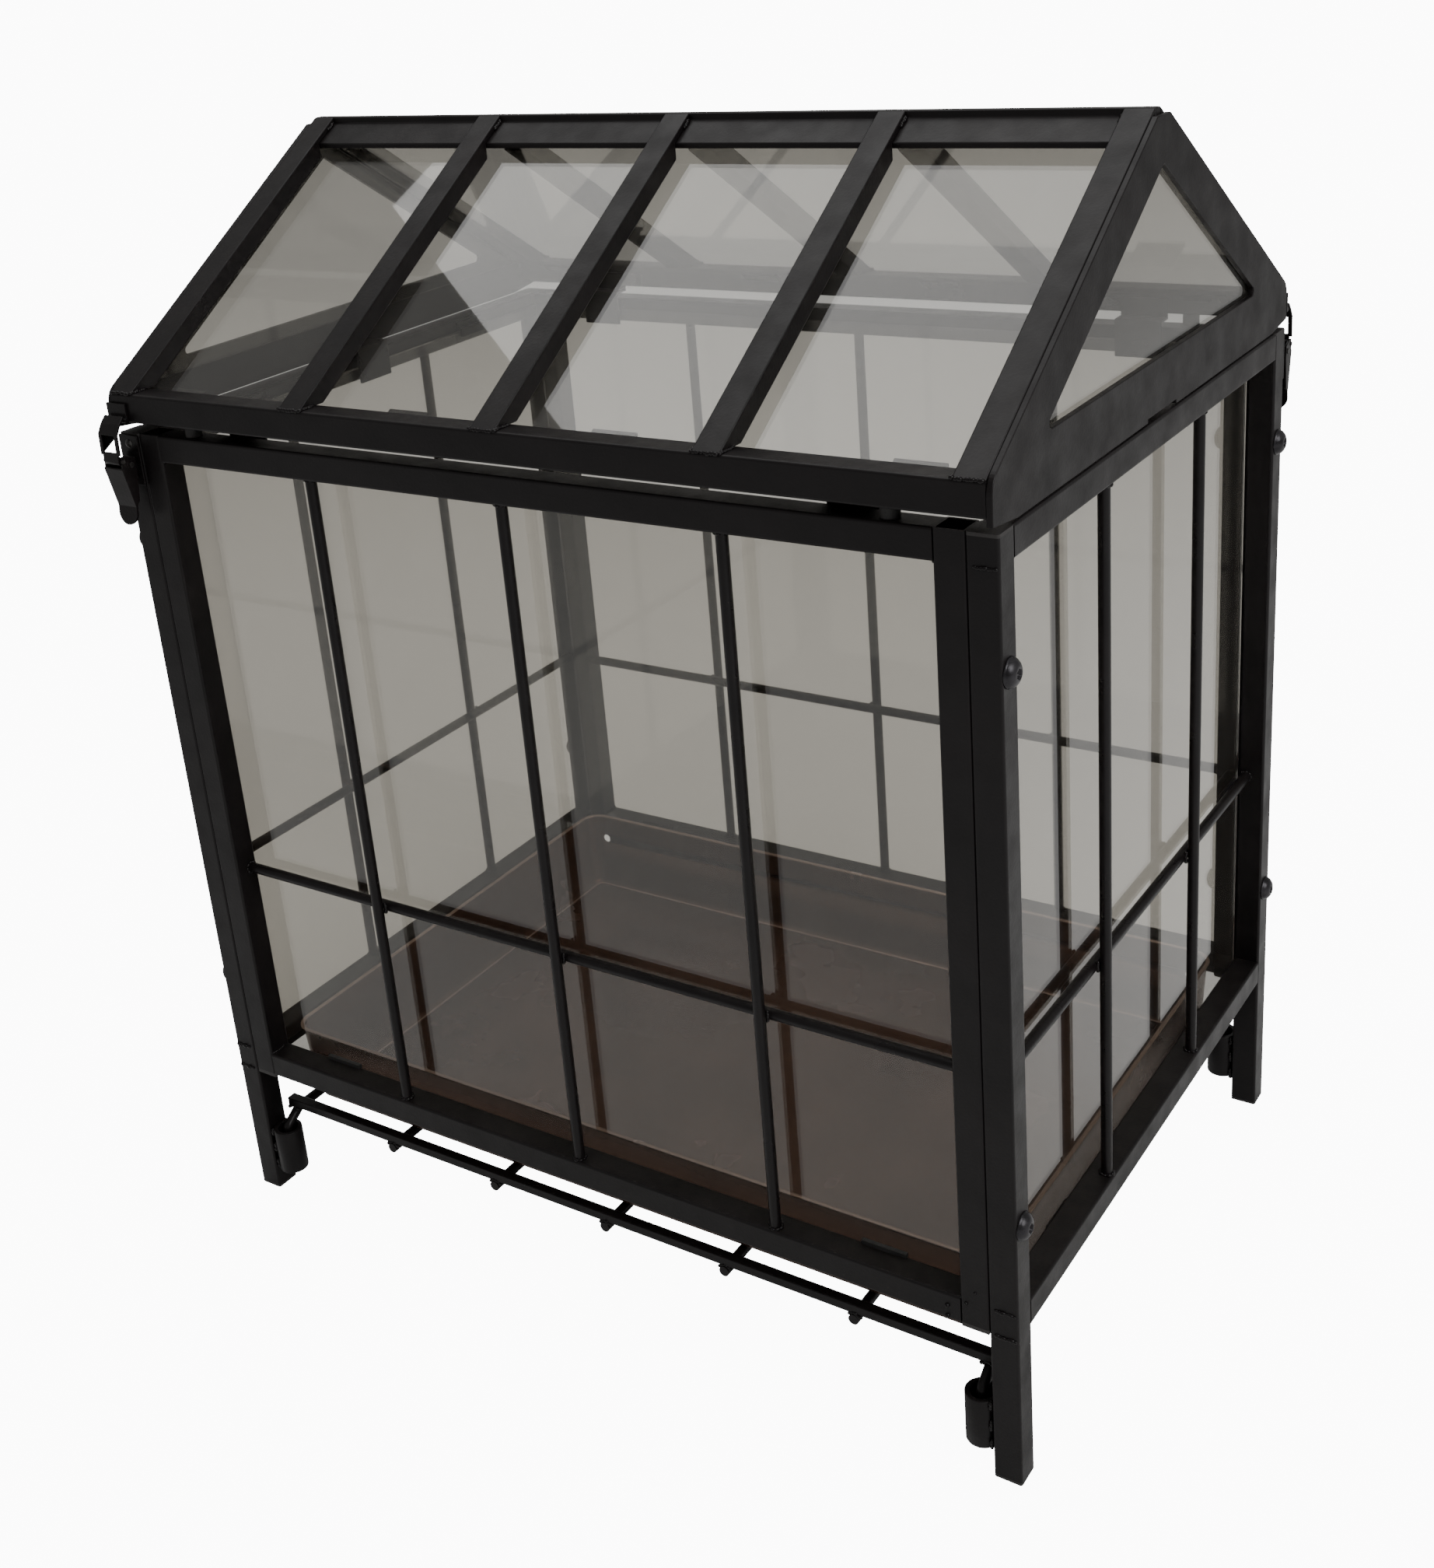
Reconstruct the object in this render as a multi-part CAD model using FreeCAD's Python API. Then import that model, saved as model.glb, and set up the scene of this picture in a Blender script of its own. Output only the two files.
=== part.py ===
import FreeCAD, Part
import math
import os

# Cold frame: a house-shaped glazed cabinet on four legs. +Z is up, the front faces -Y, and the
# origin is on the floor below the middle of the cabinet. All sizes are in millimetres.

os.makedirs("parts", exist_ok=True)

# ---- overall sizes
frame_w = 520.0            # over the outer faces of the legs, X
frame_d = 368.0            # over the outer faces of the legs, Y
body_h = 493.0             # floor to the top of the legs
total_h = 635.0            # floor to the top of the ridge
rail_floor_z = 88.0        # underside of the bottom rails

# ---- steel sections
tube = 15.0                # square tube, outside
tube_wall = 1.2
tube_round = 1.4           # outer corner radius of the tube
plug_head = 1.6            # end plugs: thickness of the head
nose_h = 4.0               # the stiles' lower plugs have a thicker, rounded head
nose_round = 3.0
plug_stem = 9.0            # and height of the whole plug
bar_d = 6.0                # round bars
bar_recess = 1.5           # the upright bars lie this far behind the outer face
cross_bar_z = 227.0        # height of the horizontal bars
stile_tail = 3.0           # the stiles reach this far below the bottom rail
glass_t = 3.0
glass_gap = 0.5            # between the edges of two panes
glass_lap = 8.0            # how far a pane covers the tubes round its opening

# ---- bolts that hold the four panels together
bolt_d = 6.0
bolt_hole_clear = 0.3      # radial, in the legs
bolt_head_d = 14.4
bolt_head_h = 4.6
bolt_low_z = 151.0
bolt_high_z = 430.5
nut_d = 9.0
nut_len = 13.0
thread_clear = 0.05        # radial, bolt in its rivet nut

# ---- lid
lid_gap = 1.0              # between the legs' tops and the lower edge of the gable plates
lid_over = 4.0             # the eaves stand this far in front of the legs
lid_inset = 0.5            # the gable plates stand this far behind the legs' outer faces
eave_rise = 6.0            # the eave rail's underside above the gable plate's lower edge
eave_h = 16.0
ridge_flat = 3.0           # half the width of the flat on top of the ridge
plate_t = 3.0
gable_flat = 8.0           # half the width of the flat on top of a gable plate
gable_relief_w = 24.0      # the gable plate's lower corners rise over this width
gable_relief_h = 3.0       # by this much
gable_band = 22.5          # width of the gable plate beside its window
gable_sill = 28.0          # height of the gable plate below its window
window_round = 2.5
shoulder_round = 11.0
notch_w = 37.0
notch_h = 2.0
rafter_t = 10.0
rafter_count = 5
ridge_leg = 21.0           # width of each leg of the ridge rail
ridge_sunk = 3.0           # the ridge rail lies this far below the rafters' faces
ridge_t = 2.4

# ---- tray and rack
tray_gap = 7.0             # between the tray's rim and the panes
tray_h = 54.0
tray_t = 1.2
tray_round = 8.0           # outer corners of the floor
tray_bend = 5.0            # outer bend between floor and walls
tray_flare = 4.0           # the walls lean out by this much from floor to rim
tray_lip = 1.5
rack_bar_z = 54.5          # underside of the rack's long bars
rack_bar_h = 5.5
rack_bar_t = 6.0
rack_bar_gap = 4.5         # between the tray's rim and the rack's long bars
rack_bar_over = 3.8        # the bars reach this far beyond the middle of the end rods
rack_rod_d = 6.0
rack_rods = 7
rack_rod_over = 1.0        # the straight rods stand out beyond the long bars
rack_rod_shift = 4.0       # the straight rods sit this far to the right of even spacing
rack_rod_bend = 4.0        # bending radius of the end rods, to the middle of the rod
socket_d = 17.5
socket_bore = 12.4
socket_low_z = 15.0
socket_h = 29.0
socket_floor = 2.0
play = 0.3                 # between pieces that only rest on each other

# ---- draw latches
latch_w = 14.4
latch_base_h = 28.0
latch_base_t = 1.4
latch_sheet = 1.4
pivot_out = 8.0            # lever pivot, out from the leg's face
pivot_down = 15.0          # lever pivot, below the leg's top
hook_pin_out = 13.0        # pin between lever and strap, out from the leg's face
hook_pin_down = 12.0
latch_pin_d = 3.0
pin_clear = 0.05

# ---- derived positions
hx = frame_w / 2
hy = frame_d / 2
in_x = hx - tube
in_y = hy - tube
mid_x = hx - tube / 2
mid_y = hy - tube / 2
rail_top_z = body_h - tube
rail_sill_z = rail_floor_z + tube
stile_in = in_x - tube
upright_x = hx - bar_recess - bar_d / 2
upright_y = hy - bar_recess - bar_d / 2
lid_y = hy + lid_over
lid_x = hx - lid_inset
lid_z = body_h + lid_gap
eave_low_z = lid_z + eave_rise
eave_z = eave_low_z + eave_h
rise = total_h - eave_z
pitch = math.atan2(rise, lid_y - ridge_flat)
peak_z = eave_z + lid_y * math.tan(pitch)
rafter_x = lid_x - plate_t - tube / 2
rafter_step = 2 * rafter_x / (rafter_count - 1)


def V(x, y, z):
    return FreeCAD.Vector(x, y, z)


def box(x0, x1, y0, y1, z0, z1):
    return Part.makeBox(x1 - x0, y1 - y0, z1 - z0, V(x0, y0, z0))


def cyl(p, q, r):
    d = q.sub(p)
    return Part.makeCylinder(r, d.Length, p, d)


def ball(p, r):
    return Part.makeSphere(r, p)


def group(solids):
    return Part.makeCompound(solids)


def flip(shape, x=1, y=1):
    # the same piece on the other side of the cabinet
    if x < 0:
        shape = shape.mirror(V(0, 0, 0), V(1, 0, 0))
    if y < 0:
        shape = shape.mirror(V(0, 0, 0), V(0, 1, 0))
    return shape


def save(name, shape):
    shape.exportStep("parts/" + name + ".step")


def square_tube(x0, x1, y0, y1, z0, z1, axis):
    # a length of square tube along one axis, open at both ends, with rounded long corners
    outer = box(x0, x1, y0, y1, z0, z1)
    along = {"x": V(1, 0, 0), "y": V(0, 1, 0), "z": V(0, 0, 1)}[axis]
    edges = []
    for e in outer.Edges:
        if abs(e.tangentAt(e.FirstParameter).dot(along)) > 0.99:
            edges.append(e)
    outer = outer.makeFillet(tube_round, edges)
    w = tube_wall
    if axis == "x":
        return outer.cut(box(x0 - 1, x1 + 1, y0 + w, y1 - w, z0 + w, z1 - w))
    if axis == "y":
        return outer.cut(box(x0 + w, x1 - w, y0 - 1, y1 + 1, z0 + w, z1 - w))
    return outer.cut(box(x0 + w, x1 - w, y0 + w, y1 - w, z0 - 1, z1 + 1))


def prism_x(points, x0, x1):
    # a flat outline in the YZ plane, drawn out along X
    wire = Part.makePolygon([V(x0, y, z) for y, z in points + points[:1]])
    return Part.Face(wire).extrude(V(x1 - x0, 0, 0))


def rounded(points, x0, x1, radii):
    # the same, with each corner along X rounded by its own radius
    solid = prism_x(points, x0, x1)
    for (y, z), r in zip(points, radii):
        if r <= 0:
            continue
        for e in solid.Edges:
            a = e.Vertexes[0].Point
            if len(e.Vertexes) == 2 and abs(a.y - y) + abs(a.z - z) < 1e-6:
                b = e.Vertexes[1].Point
                if abs(b.y - y) + abs(b.z - z) < 1e-6:
                    solid = solid.makeFillet(r, [e])
                    break
    return solid


# ---- legs: square tube from the floor to the underside of the lid, with two bolt holes each
bolt_z = [bolt_low_z, bolt_high_z]
legs = []
for sx, sy, name in [(-1, -1, "leg_front_left"), (1, -1, "leg_front_right"),
                     (-1, 1, "leg_rear_left"), (1, 1, "leg_rear_right")]:
    leg = square_tube(in_x, hx, in_y, hy, plug_head, body_h - plug_head, "z")
    for z in bolt_z:
        leg = leg.cut(cyl(V(in_x - 1, mid_y, z), V(hx + 1, mid_y, z), bolt_d / 2 + bolt_hole_clear))
    save(name, flip(leg, sx, sy))

# ---- end plugs: black plastic, pressed into both ends of the legs and the lower ends of the
# stiles. A head as wide as the tube closes the end. The legs stand on theirs, and the stiles'
# are round-nosed. The stiles' upper ends stay open under the lid.
plug_half = tube / 2 - tube_wall
stile_x = in_x - tube / 2
tail_z = rail_floor_z - stile_tail


def plug(cx, cy, face_z, up, head_h, nose):
    half = tube / 2
    head = box(cx - half, cx + half, cy - half, cy + half, 0, head_h)
    head = head.makeFillet(tube_round, [e for e in head.Edges if abs(e.tangentAt(e.FirstParameter).z) > 0.99])
    if nose > 0:
        low = box(cx - half, cx + half, cy - half, cy + half, 0, head_h * 2)
        low = low.makeFillet(nose, [e for e in low.Edges if e.BoundBox.ZMax < 0.01])
        head = head.common(low)
    stem = box(cx - plug_half, cx + plug_half, cy - plug_half, cy + plug_half, head_h / 2, plug_stem)
    piece = head.fuse(stem).removeSplitter()
    if up < 0:
        piece = piece.mirror(V(0, 0, 0), V(0, 0, 1))
    piece.translate(V(0, 0, face_z))
    return piece


feet = []
top_plugs = []
tail_plugs = []
for sx in (-1, 1):
    for sy in (-1, 1):
        feet.append(plug(sx * mid_x, sy * mid_y, 0, 1, plug_head, 0))
        top_plugs.append(plug(sx * mid_x, sy * mid_y, body_h, -1, plug_head, 0))
        tail_plugs.append(plug(sx * stile_x, sy * mid_y, tail_z, 1, nose_h, nose_round))
save("leg_feet", group(feet))
save("top_plugs", group(top_plugs))
save("stile_plugs", group(tail_plugs))

# ---- side frames: top and bottom rails welded between the legs, three round bars on each side
side_bar_y = 0.186 * (2 * in_y)
for s, side in [(-1, "left"), (1, "right")]:
    top = square_tube(in_x, hx, -in_y, in_y, rail_top_z, body_h, "y")
    low = square_tube(in_x, hx, -in_y, in_y, rail_floor_z, rail_sill_z, "y")
    save("side_top_rail_" + side, flip(top, s))
    save("side_bottom_rail_" + side, flip(low, s))
uprights = []
crosses = []
for s in (-1, 1):
    for y in (-side_bar_y, side_bar_y):
        uprights.append(cyl(V(s * upright_x, y, rail_sill_z), V(s * upright_x, y, rail_top_z), bar_d / 2))
    cross_x = s * (upright_x - bar_d)
    crosses.append(cyl(V(cross_x, -in_y, cross_bar_z), V(cross_x, in_y, cross_bar_z), bar_d / 2))
save("side_bars", group(uprights))
save("side_cross_bars", group(crosses))

# ---- front and rear panels: stiles and rails bolted in between the side frames, four bars each
nut_in = in_x - nut_len
for s, face in [(-1, "front"), (1, "rear")]:
    for t, side in [(-1, "left"), (1, "right")]:
        stile = square_tube(stile_in, in_x, in_y, hy, tail_z + nose_h, body_h, "z")
        for z in bolt_z:
            stile = stile.cut(cyl(V(in_x - 3, mid_y, z), V(in_x + 1, mid_y, z), nut_d / 2))
        save(face + "_stile_" + side, flip(stile, t, s))
    top = square_tube(-stile_in, stile_in, in_y, hy, rail_top_z, body_h, "x")
    low = square_tube(-stile_in, stile_in, in_y, hy, rail_floor_z, rail_sill_z, "x")
    save(face + "_top_rail", flip(top, 1, s))
    save(face + "_bottom_rail", flip(low, 1, s))
uprights = []
crosses = []
for s in (-1, 1):
    for i in (-1, 0, 1):
        x = i * rafter_step
        uprights.append(cyl(V(x, s * upright_y, rail_sill_z), V(x, s * upright_y, rail_top_z), bar_d / 2))
    cross_y = s * (upright_y - bar_d)
    crosses.append(cyl(V(-stile_in, cross_y, cross_bar_z), V(stile_in, cross_y, cross_bar_z), bar_d / 2))
save("panel_bars", group(uprights))
save("panel_cross_bars", group(crosses))

# ---- frame bolts: dome-head screws through the legs into rivet nuts in the stiles
bolts = []
nuts = []
for sx in (-1, 1):
    for sy in (-1, 1):
        for z in bolt_z:
            y = sy * mid_y
            sphere_r = (bolt_head_d ** 2 / 4 + bolt_head_h ** 2) / (2 * bolt_head_h)
            head = ball(V(sx * (hx + bolt_head_h - sphere_r), y, z), sphere_r)
            far = sx * (hx + 3 * bolt_head_h)
            lo = min(sx * hx, far)
            hi = max(sx * hx, far)
            w = bolt_head_d
            head = head.common(box(lo, hi, y - w, y + w, z - w, z + w))
            socket = Part.makePolygon([V(sx * (hx + bolt_head_h - 2.4), y + 2.3 * math.cos(a * math.pi / 3),
                                         z + 2.3 * math.sin(a * math.pi / 3)) for a in range(7)])
            head = head.cut(Part.Face(socket).extrude(V(sx * 10, 0, 0)))
            shank = cyl(V(sx * (nut_in + 1.0), y, z), V(sx * hx, y, z), bolt_d / 2)
            bolts.append(head.fuse(shank).removeSplitter())
            nut = cyl(V(sx * nut_in, y, z), V(sx * in_x, y, z), nut_d / 2)
            bore = cyl(V(sx * (nut_in - 1), y, z), V(sx * (in_x + 1), y, z), bolt_d / 2 + thread_clear)
            nuts.append(nut.cut(bore))
save("frame_bolts", group(bolts))
save("rivet_nuts", group(nuts))

# ---- body panes: four sheets of glass that stand inside the tubes and meet at the corners
pane_low_z = rail_sill_z - glass_lap
pane_top_z = rail_top_z + glass_lap
pane_x = in_x - glass_t - glass_gap
side_pane_y = in_y - glass_gap
for s, face in [(-1, "front"), (1, "rear")]:
    pane = box(-pane_x, pane_x, in_y - glass_t, in_y, pane_low_z, pane_top_z)
    save("pane_" + face, flip(pane, 1, s))
for s, side in [(-1, "left"), (1, "right")]:
    pane = box(in_x - glass_t, in_x, -side_pane_y, side_pane_y, pane_low_z, pane_top_z)
    save("pane_" + side, flip(pane, s))

# ---- pane clips: folded strips on the inner faces of the rails hold each pane's edges
clip_w = 25.0
clip_t = 1.4
clip_grip = 4.0
front_clip_x = 0.35 * frame_w
side_clip_y = 0.27 * frame_d


def clip_outline(pane_face, rail_face, edge_z, up):
    # a strip that lies on the rail, steps over the pane's edge and turns along its inner face
    e = edge_z + up * play
    return [(rail_face, e + up * 5), (rail_face - clip_t, e + up * 5),
            (rail_face - clip_t, e + up * clip_t), (pane_face - clip_t, e + up * clip_t),
            (pane_face - clip_t, e - up * clip_grip), (pane_face, e - up * clip_grip),
            (pane_face, e), (rail_face, e)]


clips = []
for edge_z, up in [(pane_top_z, 1), (pane_low_z, -1)]:
    outline = clip_outline(in_y - glass_t - 0.05, in_y, edge_z, up)
    for sy in (-1, 1):
        for x in (-front_clip_x, front_clip_x):
            clip = prism_x(outline, x - clip_w / 2, x + clip_w / 2)
            clips.append(flip(clip, 1, sy))
    outline = clip_outline(in_x - glass_t - 0.05, in_x, edge_z, up)
    for sx in (-1, 1):
        for y in (-side_clip_y, side_clip_y):
            clip = prism_x(outline, y - clip_w / 2, y + clip_w / 2)
            clip.rotate(V(0, 0, 0), V(0, 0, 1), -90)
            clips.append(flip(clip, sx))
save("pane_clips", group(clips))

# ---- glazing blocks: black rubber strips between the bottom rails and the front and rear panes
blocks = []
for sy in (-1, 1):
    for x in (-front_clip_x, front_clip_x):
        block = box(x - clip_w / 2, x + clip_w / 2, in_y, in_y + 2.4, rail_sill_z, rail_sill_z + 2.5)
        blocks.append(flip(block, 1, sy))
save("glazing_blocks", group(blocks))

# ---- lid gable plates: flat steel with a three-cornered window, a notch in the lower edge and
# relieved lower corners. The plate ends in a short flat just below the ridge.
slope = math.tan(pitch)
fall = gable_band / math.cos(pitch)
sill_z = lid_z + gable_sill
win_half = (peak_z - fall - sill_z) / slope
flat_z = peak_z - gable_flat * slope
corner_z = lid_z + gable_relief_h
relief_y = lid_y - gable_relief_w
outline = [(-relief_y, lid_z), (-lid_y, corner_z), (-lid_y, eave_z), (-gable_flat, flat_z),
           (gable_flat, flat_z), (lid_y, eave_z), (lid_y, corner_z), (relief_y, lid_z)]
opening = [(-win_half, sill_z), (0, peak_z - fall), (win_half, sill_z)]
plate = rounded(outline, lid_x - plate_t, lid_x, [0, 0, shoulder_round, 0, 0, shoulder_round, 0, 0])
window = rounded(opening, lid_x - plate_t - 1, lid_x + 1, [window_round] * 3)
plate = plate.cut(window)
plate = plate.cut(box(lid_x - plate_t - 1, lid_x + 1, -notch_w / 2, notch_w / 2, lid_z - 1, lid_z + notch_h))
save("gable_left", flip(plate, -1))
save("gable_right", plate)

# ---- lid eave rails: square tube between the gable plates at the foot of each slope
eave_x = lid_x - plate_t
eave_in_y = lid_y - tube
for s, face in [(-1, "front"), (1, "rear")]:
    rail = square_tube(-eave_x, eave_x, eave_in_y, lid_y, eave_low_z, eave_z, "x")
    save("eave_rail_" + face, flip(rail, 1, s))


# ---- ridge rail: a folded inverted V below the rafters' faces with a flat strip along its top
def below(depth, y):
    # height of the surface that lies this deep under the rafters' outer faces
    return peak_z - depth / math.cos(pitch) - abs(y) * slope


leg_y = ridge_leg * math.cos(pitch)
deep = ridge_sunk + ridge_t
fold_z = below(ridge_sunk, ridge_flat)
ridge_outline = [(-leg_y, below(ridge_sunk, leg_y)), (-ridge_flat, fold_z), (-ridge_flat, total_h),
                 (ridge_flat, total_h), (ridge_flat, fold_z), (leg_y, below(ridge_sunk, leg_y)),
                 (leg_y, below(deep, leg_y)), (0, below(deep, 0)), (-leg_y, below(deep, leg_y))]
ridge = prism_x(ridge_outline, -eave_x, eave_x)
save("ridge_rail", ridge)

# ---- rafters: five flat bars down each slope. Their upper ends are cut down to a tongue that
# laps over the ridge rail.
for s, face in [(-1, "front"), (1, "rear")]:
    rafters = []
    for i in range(rafter_count):
        x = -rafter_x + i * rafter_step
        top_y = ridge_flat
        foot_y = lid_y
        outline = [(foot_y, below(0, foot_y)), (top_y, below(0, top_y)),
                   (top_y, below(ridge_sunk, top_y)), (leg_y, below(ridge_sunk, leg_y)),
                   (leg_y, below(rafter_t, leg_y)), (foot_y, below(rafter_t, foot_y))]
        bar = prism_x(outline, x - tube / 2, x + tube / 2)
        bar = bar.common(box(x - tube, x + tube, 0, lid_y, eave_z, total_h + 1))
        rafters.append(flip(bar, 1, s))
    save("rafters_" + face, group(rafters))

# ---- lid panes: one sheet under each slope and one behind each gable window
for s, face in [(-1, "front"), (1, "rear")]:
    foot_y = eave_in_y - glass_gap
    back = rafter_t + glass_t
    outline = [(foot_y, below(rafter_t, foot_y)), (ridge_flat, below(rafter_t, ridge_flat)),
               (ridge_flat, below(back, ridge_flat)), (foot_y, below(back, foot_y))]
    pane = prism_x(outline, -(eave_x - glass_t - glass_gap), eave_x - glass_t - glass_gap)
    save("roof_pane_" + face, flip(pane, 1, s))
gable_low = sill_z - glass_lap
under = rafter_t + glass_t + glass_gap
gable_half = (below(under, 0) - gable_low) / slope
outline = [(-gable_half, gable_low), (0, below(under, 0)), (gable_half, gable_low)]
pane = prism_x(outline, eave_x - glass_t, eave_x)
save("gable_panes", group([flip(pane, -1), pane]))

# ---- lid pane clips: folded strips on the eave rails hold the lower edges of the roof panes
clip_leg = 7.0
clips = []
for sx in (-1, 1):
    for x in (0.5 * rafter_step, 1.75 * rafter_step):
        y1 = eave_in_y
        y2 = eave_in_y - clip_leg
        z1 = below(under, y1)
        z2 = below(under, y2)
        outline = [(y1, z1 - clip_leg), (y1, z1), (y2, z2), (y2, z2 - clip_t),
                   (y1 - clip_t, z1 - clip_t), (y1 - clip_t, z1 - clip_leg)]
        clip = flip(prism_x(outline, x - clip_w / 2, x + clip_w / 2), sx)
        clips.append(clip)
        clips.append(flip(clip, 1, -1))
save("lid_pane_clips", group(clips))

# ---- locating tabs: stepped strips that hang from the lid inside the body's top rails
tab_w = 27.0
tab_t = 1.5
tab_len = 17.0             # the tabs hang this far below the gable plates' lower edges
tab_step = 3.0             # and step over the body's rails this far above them
tab_clear = 1.0            # between a tab and the pane it slides past
tab_x = 0.352 * frame_w
tab_top = eave_low_z + 9.0
tab_screw_d = 7.0


def tab_outline(inner_face, pane_face):
    face = pane_face - tab_clear - clip_t
    z = lid_z + tab_step
    return [(inner_face, z), (inner_face, tab_top), (inner_face - tab_t, tab_top),
            (inner_face - tab_t, z + tab_t), (face - tab_t, z + tab_t),
            (face - tab_t, lid_z - tab_len), (face, lid_z - tab_len), (face, z)]


tabs = []
screws = []
outline = tab_outline(eave_in_y, in_y - glass_t)
for sy in (-1, 1):
    for x in (-tab_x, tab_x):
        arm_end = x - math.copysign(tab_w / 2 + 14, x)
        lo = min(x - tab_w / 2, arm_end)
        hi = max(x + tab_w / 2, arm_end)
        tab = prism_x(outline, x - tab_w / 2, x + tab_w / 2)
        arm = box(lo, hi, eave_in_y - tab_t, eave_in_y, eave_low_z + 1, tab_top)
        tabs.append(flip(tab.fuse(arm).removeSplitter(), 1, sy))
        sx = x - math.copysign(tab_w / 2 + 7, x)
        sz = eave_low_z + 5.0
        head = cyl(V(sx, eave_in_y - tab_t, sz), V(sx, eave_in_y - tab_t - 1.8, sz), tab_screw_d / 2)
        slot = box(sx - 4, sx + 4, eave_in_y - tab_t - 2.8, eave_in_y - tab_t - 1.0, sz - 0.5, sz + 0.5)
        screws.append(flip(head.cut(slot), 1, sy))
outline = tab_outline(eave_x, in_x - glass_t)
for sx in (-1, 1):
    tab = prism_x(outline, -tab_w / 2, tab_w / 2)
    tab.rotate(V(0, 0, 0), V(0, 0, 1), -90)
    tabs.append(flip(tab, sx))
save("lid_tabs", group(tabs))
save("lid_screws", group(screws))

# ---- lid rests: rubber buttons under the eave rails that stand on the body's top rails
rest_d = 9.0
rest_x = 0.4 * frame_w
rests = []
for sx in (-1, 1):
    for sy in (-1, 1):
        rests.append(cyl(V(sx * rest_x, sy * (mid_y + 1), body_h + play),
                         V(sx * rest_x, sy * (mid_y + 1), eave_low_z), rest_d / 2))
save("lid_rests", group(rests))


# ---- draw latches: one on the front of the left leg, one on the back of the right leg.
# Each is drawn as at the front and turned half round for the back. o is the distance out from
# the leg's face and h the height above the pivot.
def at(o, z):
    return (-hy - o, z)


pivot_z = body_h - pivot_down
hook_z = body_h - hook_pin_down


def strip(points, t, x0, x1):
    # sheet metal bent along a line of points in the YZ plane, rounded at its bends and ends
    shape = None
    for (y, z) in points:
        c = cyl(V(x0, y, z), V(x1, y, z), t / 2)
        shape = c if shape is None else shape.fuse(c)
    for (y0, z0), (y1, z1) in zip(points, points[1:]):
        n = math.hypot(y1 - y0, z1 - z0)
        ny = -(z1 - z0) / n * t / 2
        nz = (y1 - y0) / n * t / 2
        shape = shape.fuse(prism_x([(y0 + ny, z0 + nz), (y1 + ny, z1 + nz),
                                    (y1 - ny, z1 - nz), (y0 - ny, z0 - nz)], x0, x1))
    return shape.removeSplitter()


cx = -mid_x
half = latch_w / 2
pivot = at(pivot_out, pivot_z)
hook = at(hook_pin_out, hook_z)
cheek_t = 1.2
side_play = 0.3
cheek_in = half - cheek_t
pin_r = latch_pin_d / 2

base = box(cx - half, cx + half, -hy - latch_base_t, -hy, body_h - latch_base_h - 0.8, body_h - 0.8)
knuckle_w = 2.8
knuckle_r = 3.0
knuckle = cyl(V(cx - knuckle_w, pivot[0], pivot[1]), V(cx + knuckle_w, pivot[0], pivot[1]), knuckle_r)
web = box(cx - knuckle_w, cx + knuckle_w, pivot[0], -hy - latch_base_t / 2, pivot_z - 2, pivot_z + 2)
base = base.fuse(knuckle).fuse(web).removeSplitter()
pin_hole = cyl(V(cx - 20, pivot[0], pivot[1]), V(cx + 20, pivot[0], pivot[1]), pin_r)
base = base.cut(pin_hole)
pivot_pin = cyl(V(cx - half - 0.5, pivot[0], pivot[1]), V(cx + half + 0.5, pivot[0], pivot[1]), pin_r)
rivets = []
for z in (body_h - 5.5, body_h - 24.0):
    dome = ball(V(cx, -hy - latch_base_t + 1.6, z), 3.0)
    rivets.append(dome.common(box(cx - 4, cx + 4, -hy - 10, -hy - latch_base_t, z - 4, z + 4)))

tip_z = body_h - 49.0
bend_z = body_h - 38.5
lever_top_z = hook_z - 3.6
front = strip([at(hook_pin_out + 1.1, lever_top_z - latch_sheet / 2), at(9.4, bend_z), at(10.8, tip_z - 1)],
              latch_sheet, cx - half, cx + half)
tip_cut = box(cx - half, cx + half, -hy - 30, -hy, tip_z + half, body_h + 10)
tip_cut = tip_cut.fuse(cyl(V(cx, -hy - 30, tip_z + half), V(cx, -hy, tip_z + half), half))
front = front.common(tip_cut)
cheek_outline = [at(hook_pin_out + 0.7, hook_z + 2.6), at(hook_pin_out - 2.2, hook_z + 2.6),
                 at(pivot_out - 3.0, pivot_z + 3.0), at(pivot_out - 3.2, pivot_z - 3.0),
                 at(pivot_out - 1.2, bend_z + 3), at(9.4, bend_z), at(hook_pin_out + 1.1, lever_top_z)]
lever = front
for s in (-1, 1):
    x_in = cx + s * cheek_in
    x_out = cx + s * half
    lever = lever.fuse(prism_x(cheek_outline, min(x_in, x_out), max(x_in, x_out)))
lever = lever.removeSplitter()
lever = lever.cut(cyl(V(cx - 20, pivot[0], pivot[1]), V(cx + 20, pivot[0], pivot[1]), pin_r + pin_clear))
lever = lever.cut(cyl(V(cx - 20, hook[0], hook[1]), V(cx + 20, hook[0], hook[1]), pin_r - 0.4))
hook_pin = cyl(V(cx - half - 0.4, hook[0], hook[1]), V(cx + half + 0.4, hook[0], hook[1]), pin_r - 0.4)

roll_r = 2.3
roll_half = cheek_in - side_play
bead_r = 1.3
bead_out = 5.6
bead_z = eave_low_z + 1.8
strap_line = [at(hook_pin_out + roll_r - latch_sheet / 2, hook_z), at(hook_pin_out + 1.0, body_h + 3.0),
              at(11.2, body_h + 7.5), at(bead_out + bead_r + play + latch_sheet / 2, body_h + 11.0)]
strap = strip(strap_line, latch_sheet, cx - half, cx + half)
neck = body_h - 8.4
for s in (-1, 1):
    x_a = cx + s * roll_half
    x_b = cx + s * (half + 1)
    strap = strap.cut(box(min(x_a, x_b), max(x_a, x_b), -hy - 30, -hy, hook_z - 10, neck))
strap = strap.fuse(cyl(V(cx - roll_half, hook[0], hook[1]), V(cx + roll_half, hook[0], hook[1]), roll_r))
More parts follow.
